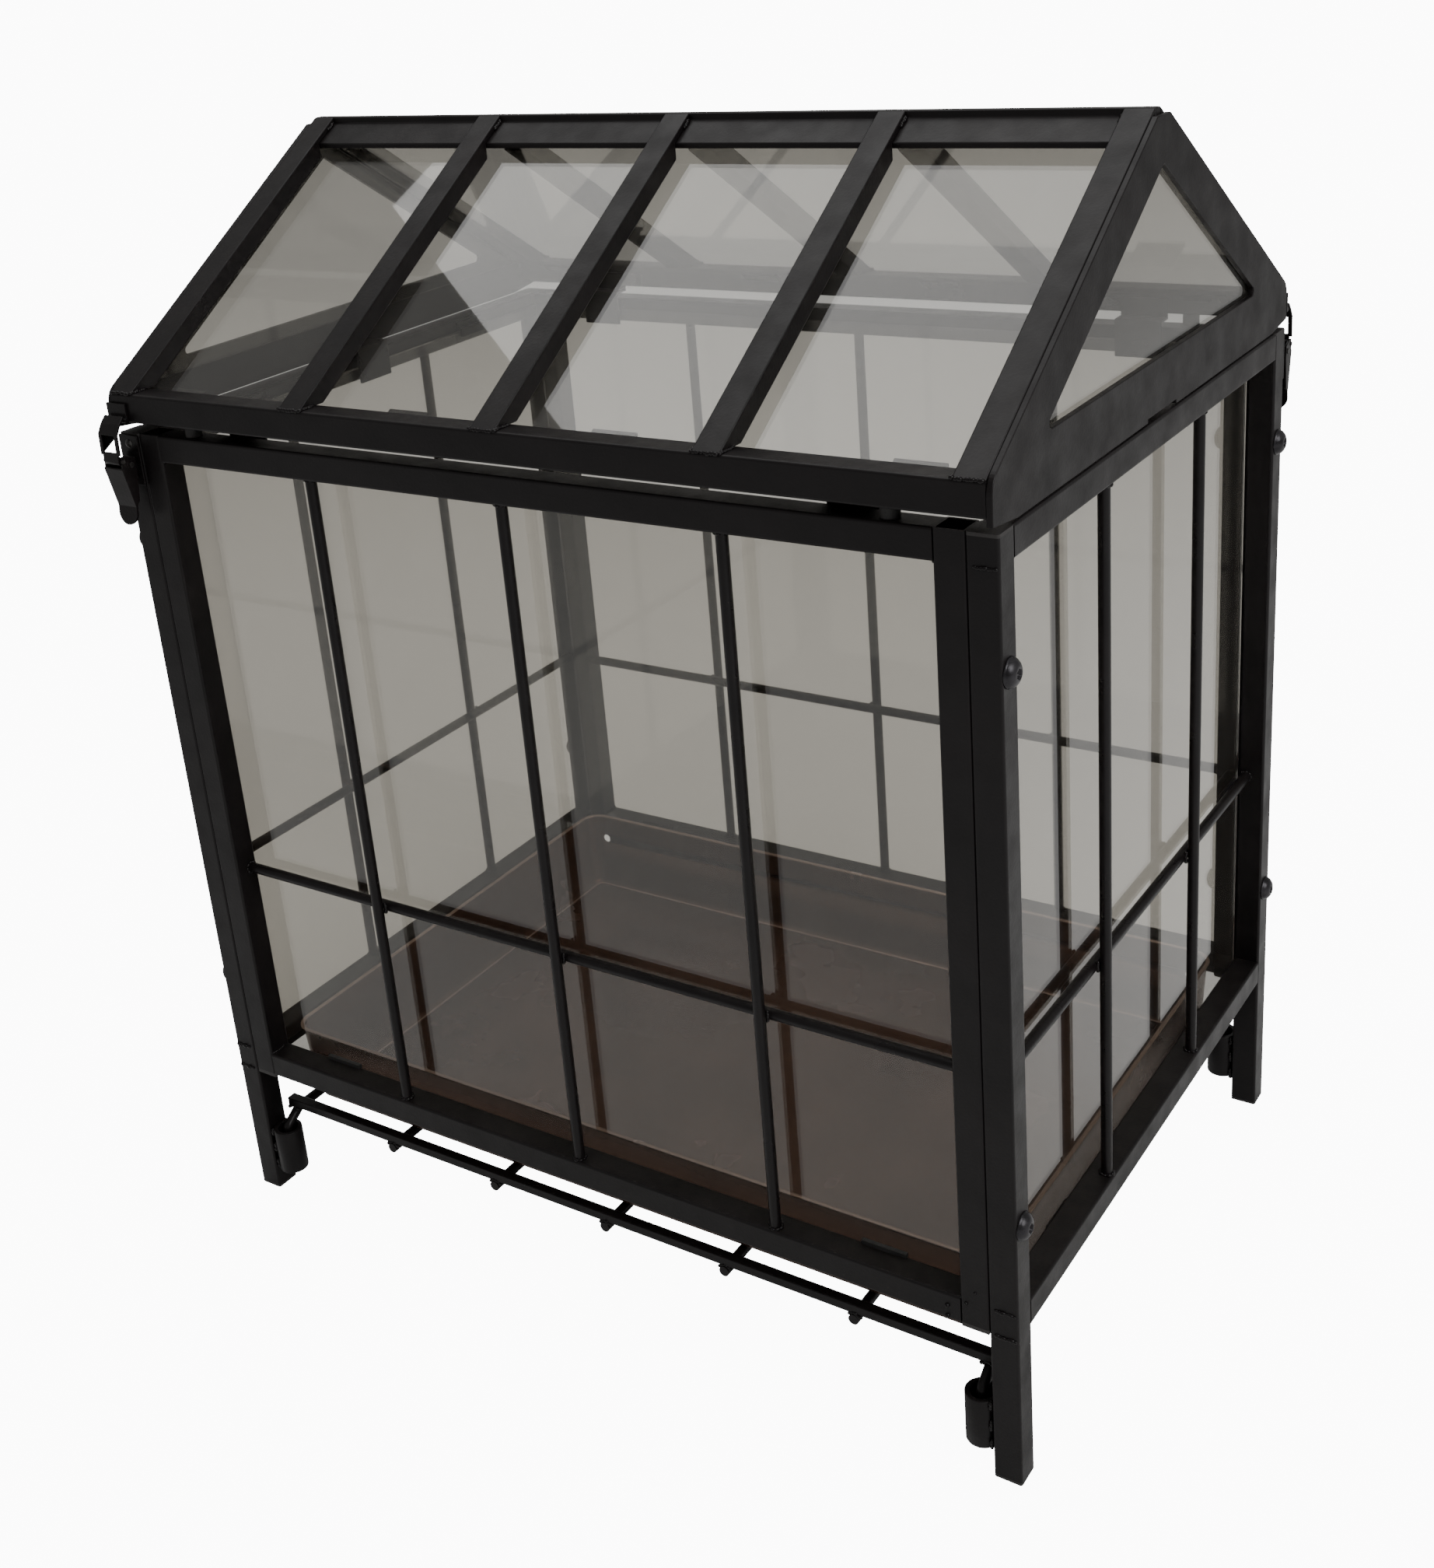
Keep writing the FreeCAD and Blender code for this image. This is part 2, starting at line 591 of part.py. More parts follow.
strap = strap.cut(box(cx - 5.0, cx + 5.0, -hy - 30, -hy - pivot_out - knuckle_r, body_h - 7.0, body_h + 2.6))
strap = strap.cut(cyl(V(cx - 20, hook[0], hook[1]), V(cx + 20, hook[0], hook[1]), pin_r - 0.4 + pin_clear))
strap = strap.removeSplitter()

keeper = box(cx - half, cx + half, -hy - bead_out, -hy - lid_over, eave_low_z + 0.5, eave_low_z + 11)
keeper = keeper.fuse(cyl(V(cx - half, -hy - bead_out, bead_z), V(cx + half, -hy - bead_out, bead_z), bead_r))
keeper = keeper.removeSplitter()

def half_turn(piece):
    turned = piece.copy()
    turned.rotate(V(0, 0, 0), V(0, 0, 1), 180)
    return turned


save("latch_bases", group([base, half_turn(base)]))
save("latch_pivot_pins", group([pivot_pin, half_turn(pivot_pin)]))
save("latch_rivets", group(rivets + [half_turn(r) for r in rivets]))
save("latch_keepers", group([keeper, half_turn(keeper)]))
for name, piece in [("latch_lever_", lever), ("latch_strap_pin_", hook_pin), ("latch_strap_", strap)]:
    save(name + "front", piece)
    save(name + "rear", half_turn(piece))

# ---- tray: a pressed pan with slightly leaning walls and a small turned-out rim. It stands on
# the rack between the panes.
rim_x = in_x - glass_t - tray_gap
rim_y = in_y - glass_t - tray_gap
tray_z = rack_bar_z + play
tray_top = tray_z + tray_h


def round_rect(x, y, z, r):
    # a rectangle with rounded corners, half as long and wide as x and y say
    k = r * (1 - math.sqrt(0.5))
    wire = []
    corners = [(1, 1), (-1, 1), (-1, -1), (1, -1)]
    starts = []
    for i, (sx, sy) in enumerate(corners):
        a = V(sx * x, sy * (y - r), z)
        b = V(sx * (x - r), sy * y, z)
        if i % 2 == 1:
            a, b = b, a
        starts.append((a, V(sx * (x - k), sy * (y - k), z), b))
    for i in range(4):
        a, m, b = starts[i]
        wire.append(Part.Arc(a, m, b).toShape())
        wire.append(Part.makeLine(b, starts[(i + 1) % 4][0]))
    return Part.Wire(wire)


def pan(grow, z0, z1):
    # the tray's outside, moved in by a thickness, from one height to another
    lean = tray_flare / tray_h
    wires = []
    for z in (z0, z1):
        out = (z - tray_z) * lean - tray_flare - tray_lip + grow
        wires.append(round_rect(rim_x + out, rim_y + out, z, tray_round + out + tray_flare + tray_lip))
    block = Part.makeLoft(wires, True, True)
    low = [e for e in block.Edges if e.BoundBox.ZMax < z0 + 0.01]
    return block.makeFillet(tray_bend + grow, low)


tray = pan(0, tray_z, tray_top)
lip = Part.Face(round_rect(rim_x, rim_y, tray_top - tray_t, tray_round + tray_flare + tray_lip))
tray = tray.fuse(lip.extrude(V(0, 0, tray_t)))
tray = tray.cut(pan(-tray_t, tray_z + tray_t, tray_top + 1))
hole_z = tray_top - 17.5
for sx in (-1, 1):
    hole_x = sx * (rim_x - 11 - tray_flare)
    tray = tray.cut(cyl(V(hole_x, rim_y - 9, hole_z), V(hole_x, rim_y + 2, hole_z), 3.0))
save("tray", tray.removeSplitter())

# ---- rack: two long bars on seven cross rods. The straight rods end just outside the bars, and
# the two end rods are bent down into the sockets on the legs.
bar_in = rim_y + rack_bar_gap
bar_out = bar_in + rack_bar_t
rod_z = rack_bar_z - rack_rod_d / 2
rod_end = bar_out + rack_rod_over
socket_x = in_x - socket_d / 2
bar_end = socket_x + rack_bar_over
long_bar = box(-bar_end, bar_end, bar_in, bar_out, rack_bar_z, rack_bar_z + rack_bar_h)
save("rack_bars", group([flip(long_bar, 1, -1), long_bar]))
rods = []
for i in range(1, rack_rods - 1):
    x = socket_x * (2 * i / (rack_rods - 1) - 1) + rack_rod_shift
    rods.append(cyl(V(x, -rod_end, rod_z), V(x, rod_end, rod_z), rack_rod_d / 2))
save("rack_rods", group(rods))


def bent_rod(points, bend, r):
    # a round rod along a line of points, with an arc at each inner point
    edges = []
    start = points[0]
    for before, turn, after in zip(points, points[1:], points[2:]):
        coming = turn.sub(before).normalize()
        going = after.sub(turn).normalize()
        half_angle = math.acos(coming.dot(going)) / 2
        back = bend * math.tan(half_angle)
        inward = V(going.x - coming.x, going.y - coming.y, going.z - coming.z).normalize()
        arc_from = turn.sub(V(coming.x * back, coming.y * back, coming.z * back))
        arc_to = turn.add(V(going.x * back, going.y * back, going.z * back))
        rise_in = bend / math.cos(half_angle) - bend
        arc_mid = turn.add(V(inward.x * rise_in, inward.y * rise_in, inward.z * rise_in))
        edges.append(Part.makeLine(start, arc_from))
        edges.append(Part.Arc(arc_from, arc_mid, arc_to).toShape())
        start = arc_to
    edges.append(Part.makeLine(start, points[-1]))
    along = points[1].sub(points[0]).normalize()
    disc = Part.Face(Part.Wire(Part.makeCircle(r, points[0], along)))
    return Part.Wire(edges).makePipe(disc).Solids[0]


pin_low = socket_low_z + socket_floor + play
socket_top = socket_low_z + socket_h
lean_y = bar_in + 1.5
end_rods = []
for x in (-socket_x, socket_x):
    line = [V(x, -mid_y, pin_low), V(x, -mid_y, socket_top), V(x, -lean_y, rod_z),
            V(x, lean_y, rod_z), V(x, mid_y, socket_top), V(x, mid_y, pin_low)]
    end_rods.append(bent_rod(line, rack_rod_bend, rack_rod_d / 2))
save("rack_end_rods", group(end_rods))

# ---- rack sockets: short cups welded to the inner sides of the legs
sockets = []
for sx in (-1, 1):
    for sy in (-1, 1):
        low = V(sx * socket_x, sy * mid_y, socket_low_z)
        cup = cyl(low, low.add(V(0, 0, socket_h)), socket_d / 2)
        bore = cyl(low.add(V(0, 0, socket_floor)), low.add(V(0, 0, socket_h + 1)), socket_bore / 2)
        sockets.append(cup.cut(bore))
save("rack_sockets", group(sockets))
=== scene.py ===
import math
import random

import bmesh
import bpy
from mathutils import Matrix, Vector


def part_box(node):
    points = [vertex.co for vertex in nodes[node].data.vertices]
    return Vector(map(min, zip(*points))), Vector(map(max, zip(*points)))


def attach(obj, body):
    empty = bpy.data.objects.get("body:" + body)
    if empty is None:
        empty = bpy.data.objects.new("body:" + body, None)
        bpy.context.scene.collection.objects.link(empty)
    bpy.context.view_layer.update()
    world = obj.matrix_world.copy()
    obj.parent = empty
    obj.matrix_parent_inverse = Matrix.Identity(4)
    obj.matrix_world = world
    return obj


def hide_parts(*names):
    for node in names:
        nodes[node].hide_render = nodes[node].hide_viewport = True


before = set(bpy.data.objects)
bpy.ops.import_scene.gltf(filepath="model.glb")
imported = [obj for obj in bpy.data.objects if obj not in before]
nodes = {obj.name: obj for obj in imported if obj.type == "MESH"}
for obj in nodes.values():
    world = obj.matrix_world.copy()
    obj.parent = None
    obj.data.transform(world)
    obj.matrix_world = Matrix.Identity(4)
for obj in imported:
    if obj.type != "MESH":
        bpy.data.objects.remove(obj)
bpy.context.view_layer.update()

# ---- Legs and side frames
# Four legs of mild steel square tube with top and bottom rails welded between them, ground flush
# and sprayed with a satin black enamel that has a faint brown cast and a fine orange-peel skin.


def wire(tree, *pairs):
    for here, there in pairs:
        tree.links.new(here, there)


def black_enamel(name, sheen, dusty):
    # one coat of enamel: mottled black, thinner and paler on rubbed edges, dust where it faces up
    finish = bpy.data.materials.new(name)
    finish.use_nodes = True
    tree = finish.node_tree
    add = tree.nodes.new
    shader = tree.nodes["Principled BSDF"]
    shader.inputs["Specular IOR Level"].default_value = 0.2
    shader.inputs["Coat Weight"].default_value = 0.03
    shader.inputs["Coat Roughness"].default_value = 0.22
    place = add("ShaderNodeTexCoord")

    mottle = add("ShaderNodeTexNoise")
    mottle.inputs["Scale"].default_value = 28
    mottle.inputs["Detail"].default_value = 6
    tone = add("ShaderNodeValToRGB")
    tone.color_ramp.elements[0].position = 0.3
    tone.color_ramp.elements[0].color = (0.0040, 0.0031, 0.0034, 1)
    tone.color_ramp.elements[1].position = 0.75
    tone.color_ramp.elements[1].color = (0.0085, 0.0066, 0.0069, 1)
    wire(tree,
         (place.outputs["Object"], mottle.inputs["Vector"]),
         (mottle.outputs["Fac"], tone.inputs["Fac"]))

    rubbed = add("ShaderNodeAttribute")
    rubbed.attribute_name = "rubbed"
    chips = add("ShaderNodeTexNoise")
    chips.inputs["Scale"].default_value = 260
    chips.inputs["Detail"].default_value = 4
    worn = add("ShaderNodeMapRange")
    worn.inputs["From Min"].default_value = 0.42
    worn.inputs["From Max"].default_value = 0.62
    worn.inputs["To Max"].default_value = 0.75
    edge = add("ShaderNodeMath")
    edge.operation = "MULTIPLY"
    bare = add("ShaderNodeMix")
    bare.data_type = "RGBA"
    bare.inputs["B"].default_value = (0.050, 0.045, 0.044, 1)
    wire(tree,
         (place.outputs["Object"], chips.inputs["Vector"]),
         (chips.outputs["Fac"], worn.inputs["Value"]),
         (worn.outputs["Result"], edge.inputs[0]),
         (rubbed.outputs["Fac"], edge.inputs[1]),
         (edge.outputs[0], bare.inputs["Factor"]),
         (tone.outputs["Color"], bare.inputs["A"]))

    facing = add("ShaderNodeNewGeometry")
    split = add("ShaderNodeSeparateXYZ")
    upward = add("ShaderNodeMapRange")
    upward.inputs["From Min"].default_value = 0.35
    upward.inputs["From Max"].default_value = 1.0
    upward.inputs["To Max"].default_value = dusty
    drift = add("ShaderNodeTexNoise")
    drift.inputs["Scale"].default_value = 75
    drift.inputs["Detail"].default_value = 8
    drift.inputs["Roughness"].default_value = 0.7
    lying = add("ShaderNodeMapRange")
    lying.inputs["From Min"].default_value = 0.38
    lying.inputs["From Max"].default_value = 0.7
    film = add("ShaderNodeMath")
    film.operation = "MULTIPLY"
    dust = add("ShaderNodeMix")
    dust.data_type = "RGBA"
    dust.inputs["B"].default_value = (0.10, 0.090, 0.080, 1)
    wire(tree,
         (facing.outputs["Normal"], split.inputs[0]),
         (split.outputs["Z"], upward.inputs["Value"]),
         (place.outputs["Object"], drift.inputs["Vector"]),
         (drift.outputs["Fac"], lying.inputs["Value"]),
         (upward.outputs["Result"], film.inputs[0]),
         (lying.outputs["Result"], film.inputs[1]),
         (film.outputs[0], dust.inputs["Factor"]),
         (bare.outputs["Result"], dust.inputs["A"]),
         (dust.outputs["Result"], shader.inputs["Base Color"]))

    streak = add("ShaderNodeTexNoise")
    streak.inputs["Scale"].default_value = 55
    streak.inputs["Detail"].default_value = 5
    gloss = add("ShaderNodeMapRange")
    gloss.inputs["From Min"].default_value = 0.3
    gloss.inputs["From Max"].default_value = 0.7
    gloss.inputs["To Min"].default_value = sheen
    gloss.inputs["To Max"].default_value = sheen + 0.16
    wire(tree,
         (place.outputs["Object"], streak.inputs["Vector"]),
         (streak.outputs["Fac"], gloss.inputs["Value"]),
         (gloss.outputs["Result"], shader.inputs["Roughness"]))

    peel = add("ShaderNodeTexNoise")
    peel.inputs["Scale"].default_value = 620
    peel.inputs["Detail"].default_value = 2
    skin = add("ShaderNodeBump")
    skin.inputs["Strength"].default_value = 0.16
    skin.inputs["Distance"].default_value = 0.0004
    ripple = add("ShaderNodeTexNoise")
    ripple.inputs["Scale"].default_value = 48
    drawn = add("ShaderNodeBump")
    drawn.inputs["Strength"].default_value = 0.1
    drawn.inputs["Distance"].default_value = 0.0012
    wire(tree,
         (place.outputs["Object"], peel.inputs["Vector"]),
         (peel.outputs["Fac"], skin.inputs["Height"]),
         (place.outputs["Object"], ripple.inputs["Vector"]),
         (ripple.outputs["Fac"], drawn.inputs["Height"]),
         (drawn.outputs["Normal"], skin.inputs["Normal"]),
         (skin.outputs["Normal"], shader.inputs["Normal"]))
    return finish


def coat(finish, *names):
    for name in names:
        for place in nodes[name].material_slots:
            place.material = finish


enamel = black_enamel("satin_black_enamel", 0.34, 0.06)
coat(enamel, "leg_front_left", "leg_front_right", "leg_rear_left", "leg_rear_right",
     "side_top_rail_left", "side_top_rail_right", "side_bottom_rail_left", "side_bottom_rail_right")

# ---- Front and rear panels
# Each long side is a ladder frame of the same tube: two stiles with a rail between their tops and
# one near their feet. It is bolted in between the side frames and has the same enamel.
coat(enamel, "front_stile_left", "front_stile_right", "front_top_rail", "front_bottom_rail",
     "rear_stile_left", "rear_stile_right", "rear_top_rail", "rear_bottom_rail")

# ---- Bars
# Plain 6 mm round bar, cut to length and tacked between the rails, with one level bar behind the
# upright ones on every side. The drawn bar takes the enamel smoother than the tube does.
bar_enamel = black_enamel("bar_black_enamel", 0.24, 0.05)
coat(bar_enamel, "side_bars", "side_cross_bars", "panel_bars", "panel_cross_bars")

# ---- End plugs
# Polythene plugs pushed into the ends of the tubes: ribbed below, with a flat head that shows.
# The moulded plastic is rougher and a little paler than the enamel.


def simple_finish(name, dark, light, grain, rough, bump, metal=0.0):
    # a plain finish: two close tones in a noise pattern, uneven gloss and a fine bump
    finish = bpy.data.materials.new(name)
    finish.use_nodes = True
    tree = finish.node_tree
    shader = tree.nodes["Principled BSDF"]
    shader.inputs["Metallic"].default_value = metal
    place = tree.nodes.new("ShaderNodeTexCoord")
    spots = tree.nodes.new("ShaderNodeTexNoise")
    spots.inputs["Scale"].default_value = grain
    spots.inputs["Detail"].default_value = 6
    tone = tree.nodes.new("ShaderNodeValToRGB")
    tone.color_ramp.elements[0].position = 0.32
    tone.color_ramp.elements[0].color = (*dark, 1)
    tone.color_ramp.elements[1].position = 0.7
    tone.color_ramp.elements[1].color = (*light, 1)
    gloss = tree.nodes.new("ShaderNodeMapRange")
    gloss.inputs["From Min"].default_value = 0.3
    gloss.inputs["From Max"].default_value = 0.7
    gloss.inputs["To Min"].default_value = rough
    gloss.inputs["To Max"].default_value = rough + 0.2
    fine = tree.nodes.new("ShaderNodeTexNoise")
    fine.inputs["Scale"].default_value = grain * 9
    skin = tree.nodes.new("ShaderNodeBump")
    skin.inputs["Strength"].default_value = bump
    skin.inputs["Distance"].default_value = 0.0004
    wire(tree,
         (place.outputs["Object"], spots.inputs["Vector"]),
         (spots.outputs["Fac"], tone.inputs["Fac"]),
         (tone.outputs["Color"], shader.inputs["Base Color"]),
         (spots.outputs["Fac"], gloss.inputs["Value"]),
         (gloss.outputs["Result"], shader.inputs["Roughness"]),
         (place.outputs["Object"], fine.inputs["Vector"]),
         (fine.outputs["Fac"], skin.inputs["Height"]),
         (skin.outputs["Normal"], shader.inputs["Normal"]))
    return finish


plug_plastic = simple_finish("plug_plastic", (0.012, 0.010, 0.010), (0.026, 0.023, 0.022), 90, 0.48, 0.3)
coat(plug_plastic, "leg_feet", "top_plugs", "stile_plugs")

# ---- Frame bolts
# Eight M6 dome-head screws with a hexagon socket, chemically blacked, that pull the side frames
# against rivet nuts in the stiles. The nuts are plain zinc-plated steel inside the tube.
bolt_black = simple_finish("bolt_black", (0.016, 0.015, 0.017), (0.040, 0.038, 0.042), 160, 0.2, 0.15, 0.65)
zinc = simple_finish("bright_zinc", (0.34, 0.34, 0.35), (0.52, 0.52, 0.52), 220, 0.3, 0.2, 1.0)
coat(zinc, "rivet_nuts")


def panel(name, points, faces, smooth=True):
    made = bpy.data.meshes.new(name)
    made.from_pydata(points, [], faces)
    made.polygons.foreach_set("use_smooth", [smooth] * len(made.polygons))
    made.validate()
    return made


def turned(name, profile, sides, hole_profile=(), hole_sides=6):
    # a turned head about X: rings out along profile (distance out, radius), then the socket's rings
    points = []
    faces = []
    rings = [(x, r, sides) for x, r in profile]
    for x, r, n in rings:
        for i in range(n):
            a = 2 * math.pi * i / n
            points.append((x, r * math.cos(a), r * math.sin(a)))
    for k in range(len(rings) - 1):
        for i in range(sides):
            j = (i + 1) % sides
            faces.append((k * sides + i, k * sides + j, (k + 1) * sides + j, (k + 1) * sides + i))
    faces.append(tuple(reversed(range(sides))))
    last = (len(rings) - 1) * sides
    for x, r in hole_profile:
        start = len(points)
        for i in range(sides):
            a = 2 * math.pi * i / sides
            fold = (a + math.pi / hole_sides) % (2 * math.pi / hole_sides) - math.pi / hole_sides
            across = r * math.cos(math.pi / hole_sides) / math.cos(fold)
            points.append((x, across * math.cos(a), across * math.sin(a)))
        for i in range(sides):
            j = (i + 1) % sides
            faces.append((last + i, last + j, start + j, start + i))
        last = start
    faces.append(tuple(last + i for i in range(sides)))
    return panel(name, points, faces)


def scattered(name, spots, body, shape, finish, seed=3, least=1.0, most=1.0, spin=0.0):
    # geometry nodes put a copy of shape on every spot, turned to the spot's direction, and join them
    cloud = bpy.data.meshes.new(name + "_spots")
    cloud.from_pydata([p for p, d in spots], [], [])
    aim = cloud.attributes.new("aim", "FLOAT_VECTOR", "POINT")
    for i, (p, d) in enumerate(spots):
        aim.data[i].vector = d
    piece = bpy.data.objects.new(name, cloud)
    bpy.context.collection.objects.link(piece)
    pattern = bpy.data.objects.new(name + "_pattern", shape)
    bpy.context.collection.objects.link(pattern)

    tree = bpy.data.node_groups.new(name + "_spread", "GeometryNodeTree")
    face = tree.interface
    face.new_socket("Spots", in_out="INPUT", socket_type="NodeSocketGeometry")
    smallest = face.new_socket("Smallest", in_out="INPUT", socket_type="NodeSocketFloat")
    largest = face.new_socket("Largest", in_out="INPUT", socket_type="NodeSocketFloat")
    twist = face.new_socket("Twist", in_out="INPUT", socket_type="NodeSocketFloat")
    pick = face.new_socket("Seed", in_out="INPUT", socket_type="NodeSocketInt")
    face.new_socket("Result", in_out="OUTPUT", socket_type="NodeSocketGeometry")
    add = tree.nodes.new
    source = add("NodeGroupInput")
    result = add("NodeGroupOutput")
    item = add("GeometryNodeObjectInfo")
    item.inputs["Object"].default_value = pattern
    item.inputs["As Instance"].default_value = True
    aimed = add("GeometryNodeInputNamedAttribute")
    aimed.data_type = "FLOAT_VECTOR"
    aimed.inputs["Name"].default_value = "aim"
    align = add("FunctionNodeAlignRotationToVector")
    align.axis = "X"
    sizes = add("FunctionNodeRandomValue")
    angles = add("FunctionNodeRandomValue")
    turn_by = add("ShaderNodeCombineXYZ")
    rolled = add("FunctionNodeRotateRotation")
    rolled.rotation_space = "LOCAL"
    euler = add("FunctionNodeEulerToRotation")
    put = add("GeometryNodeInstanceOnPoints")
    real = add("GeometryNodeRealizeInstances")
    paint = add("GeometryNodeSetMaterial")
    paint.inputs["Material"].default_value = finish
    wire(tree,
         (source.outputs["Spots"], put.inputs["Points"]),
         (item.outputs["Geometry"], put.inputs["Instance"]),
         (aimed.outputs[0], align.inputs["Vector"]),
         (source.outputs["Smallest"], sizes.inputs[2]),
         (source.outputs["Largest"], sizes.inputs[3]),
         (source.outputs["Seed"], sizes.inputs["Seed"]),
         (sizes.outputs[1], put.inputs["Scale"]),
         (source.outputs["Twist"], angles.inputs[3]),
         (source.outputs["Seed"], angles.inputs["Seed"]),
         (angles.outputs[1], turn_by.inputs["X"]),
         (turn_by.outputs[0], euler.inputs[0]),
         (align.outputs[0], rolled.inputs["Rotation"]),
         (euler.outputs[0], rolled.inputs["Rotate By"]),
         (rolled.outputs[0], put.inputs["Rotation"]),
         (put.outputs["Instances"], real.inputs["Geometry"]),
         (real.outputs["Geometry"], paint.inputs["Geometry"]),
         (paint.outputs["Geometry"], result.inputs["Result"]))
    grow = piece.modifiers.new("spread", "NODES")
    grow.node_group = tree
    grow[smallest.identifier] = least
    grow[largest.identifier] = most
    grow[twist.identifier] = spin
    grow[pick.identifier] = seed
    seen_now = piece.evaluated_get(bpy.context.evaluated_depsgraph_get())
    solid = bpy.data.meshes.new_from_object(seen_now)
    solid.name = name
    piece.modifiers.clear()
    piece.data = solid
    for mark in [a.name for a in solid.attributes if a.name == "aim"]:
        solid.attributes.remove(solid.attributes[mark])
    bpy.data.objects.remove(pattern)
    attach(piece, body)
    return piece


leg = Vector(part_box("leg_front_right")[1]) - Vector(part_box("leg_front_right")[0])
tube = leg.x
side_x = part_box("leg_front_right")[1][0]
mid_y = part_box("leg_front_right")[1][1] - tube / 2
bolt_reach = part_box("frame_bolts")[1][0] - side_x
any_angle = 6.28
bolt_low_z = 0.151
bolt_high_z = 0.4305
bolt_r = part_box("frame_bolts")[1][2] - bolt_high_z
dome = [(-0.0008, bolt_r * 0.90), (0.0, bolt_r * 0.985), (0.0005, bolt_r)]
for step in range(1, 9):
    a = math.radians(9 + 62 * step / 8)
    dome.append((bolt_reach * (math.sin(a) - 0.156) / 0.79, bolt_r * math.cos(a) ** 0.8))
dome[-1] = (bolt_reach, dome[-1][1])
dome_in = [(bolt_reach - 0.0001, 0.0027), (bolt_reach - 0.0004, 0.0024), (bolt_reach - 0.0024, 0.0023)]
spots = []
for side in (-1, 1):
    for end in (-1, 1):
        for z in (bolt_low_z, bolt_high_z):
            spots.append(((side * side_x, end * mid_y, z), (side, 0, 0)))
head = turned("bolt_head", dome, 36, dome_in)
bolt_heads = scattered("bolt_heads", spots, "frame", head, bolt_black, 5, spin=any_angle)
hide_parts("frame_bolts")

# ---- Body panes
# Four sheets of 3 mm float glass behind the tubes, with ground edges. The glass has a warm grey
# cast, a thin film of dust and lime from watering, heavier in soft drifts.


def sheet_glass(name, cast, film):
    finish = bpy.data.materials.new(name)
    finish.use_nodes = True
    tree = finish.node_tree
    add = tree.nodes.new
    shader = tree.nodes["Principled BSDF"]
    out = tree.nodes["Material Output"]
    shader.inputs["Base Color"].default_value = (*cast, 1)
    shader.inputs["Transmission Weight"].default_value = 1
    shader.inputs["Roughness"].default_value = 0.015
    shader.inputs["IOR"].default_value = 1.5
    shader.inputs["Specular IOR Level"].default_value = 0.32
    place = add("ShaderNodeTexCoord")
    drift = add("ShaderNodeTexNoise")
    drift.inputs["Scale"].default_value = 9
    drift.inputs["Detail"].default_value = 9
    drift.inputs["Roughness"].default_value = 0.68
    amount = add("ShaderNodeMapRange")
    amount.inputs["From Min"].default_value = 0.36
    amount.inputs["From Max"].default_value = 0.72
    amount.inputs["To Min"].default_value = film * 0.35
    amount.inputs["To Max"].default_value = film
    specks = add("ShaderNodeTexVoronoi")
    specks.inputs["Scale"].default_value = 210
    dots = add("ShaderNodeMapRange")
    dots.inputs["From Min"].default_value = 0.1
    dots.inputs["From Max"].default_value = 0.04
    dots.inputs["To Max"].default_value = 0.012
    more = add("ShaderNodeMath")
    more.operation = "ADD"
    dust = add("ShaderNodeBsdfDiffuse")
    dust.inputs["Color"].default_value = (0.5, 0.47, 0.42, 1)
    dusty = add("ShaderNodeMixShader")
    through = add("ShaderNodeBsdfTransparent")
    through.inputs["Color"].default_value = (0.9, 0.9, 0.88, 1)
    light = add("ShaderNodeLightPath")
    pick = add("ShaderNodeMixShader")
    wave = add("ShaderNodeTexNoise")
    wave.inputs["Scale"].default_value = 7
    flow = add("ShaderNodeBump")
    flow.inputs["Strength"].default_value = 0.01
    flow.inputs["Distance"].default_value = 0.002
    wire(tree,
         (place.outputs["Object"], drift.inputs["Vector"]),
         (drift.outputs["Fac"], amount.inputs["Value"]),
         (place.outputs["Object"], specks.inputs["Vector"]),
         (specks.outputs["Distance"], dots.inputs["Value"]),
         (amount.outputs["Result"], more.inputs[0]),
         (dots.outputs["Result"], more.inputs[1]),
         (more.outputs[0], dusty.inputs[0]),
         (shader.outputs[0], dusty.inputs[1]),
         (dust.outputs[0], dusty.inputs[2]),
         (light.outputs["Is Shadow Ray"], pick.inputs[0]),
         (dusty.outputs[0], pick.inputs[1]),
         (through.outputs[0], pick.inputs[2]),
         (pick.outputs[0], out.inputs["Surface"]),
         (place.outputs["Object"], wave.inputs["Vector"]),
         (wave.outputs["Fac"], flow.inputs["Height"]),
         (flow.outputs["Normal"], shader.inputs["Normal"]))
    return finish


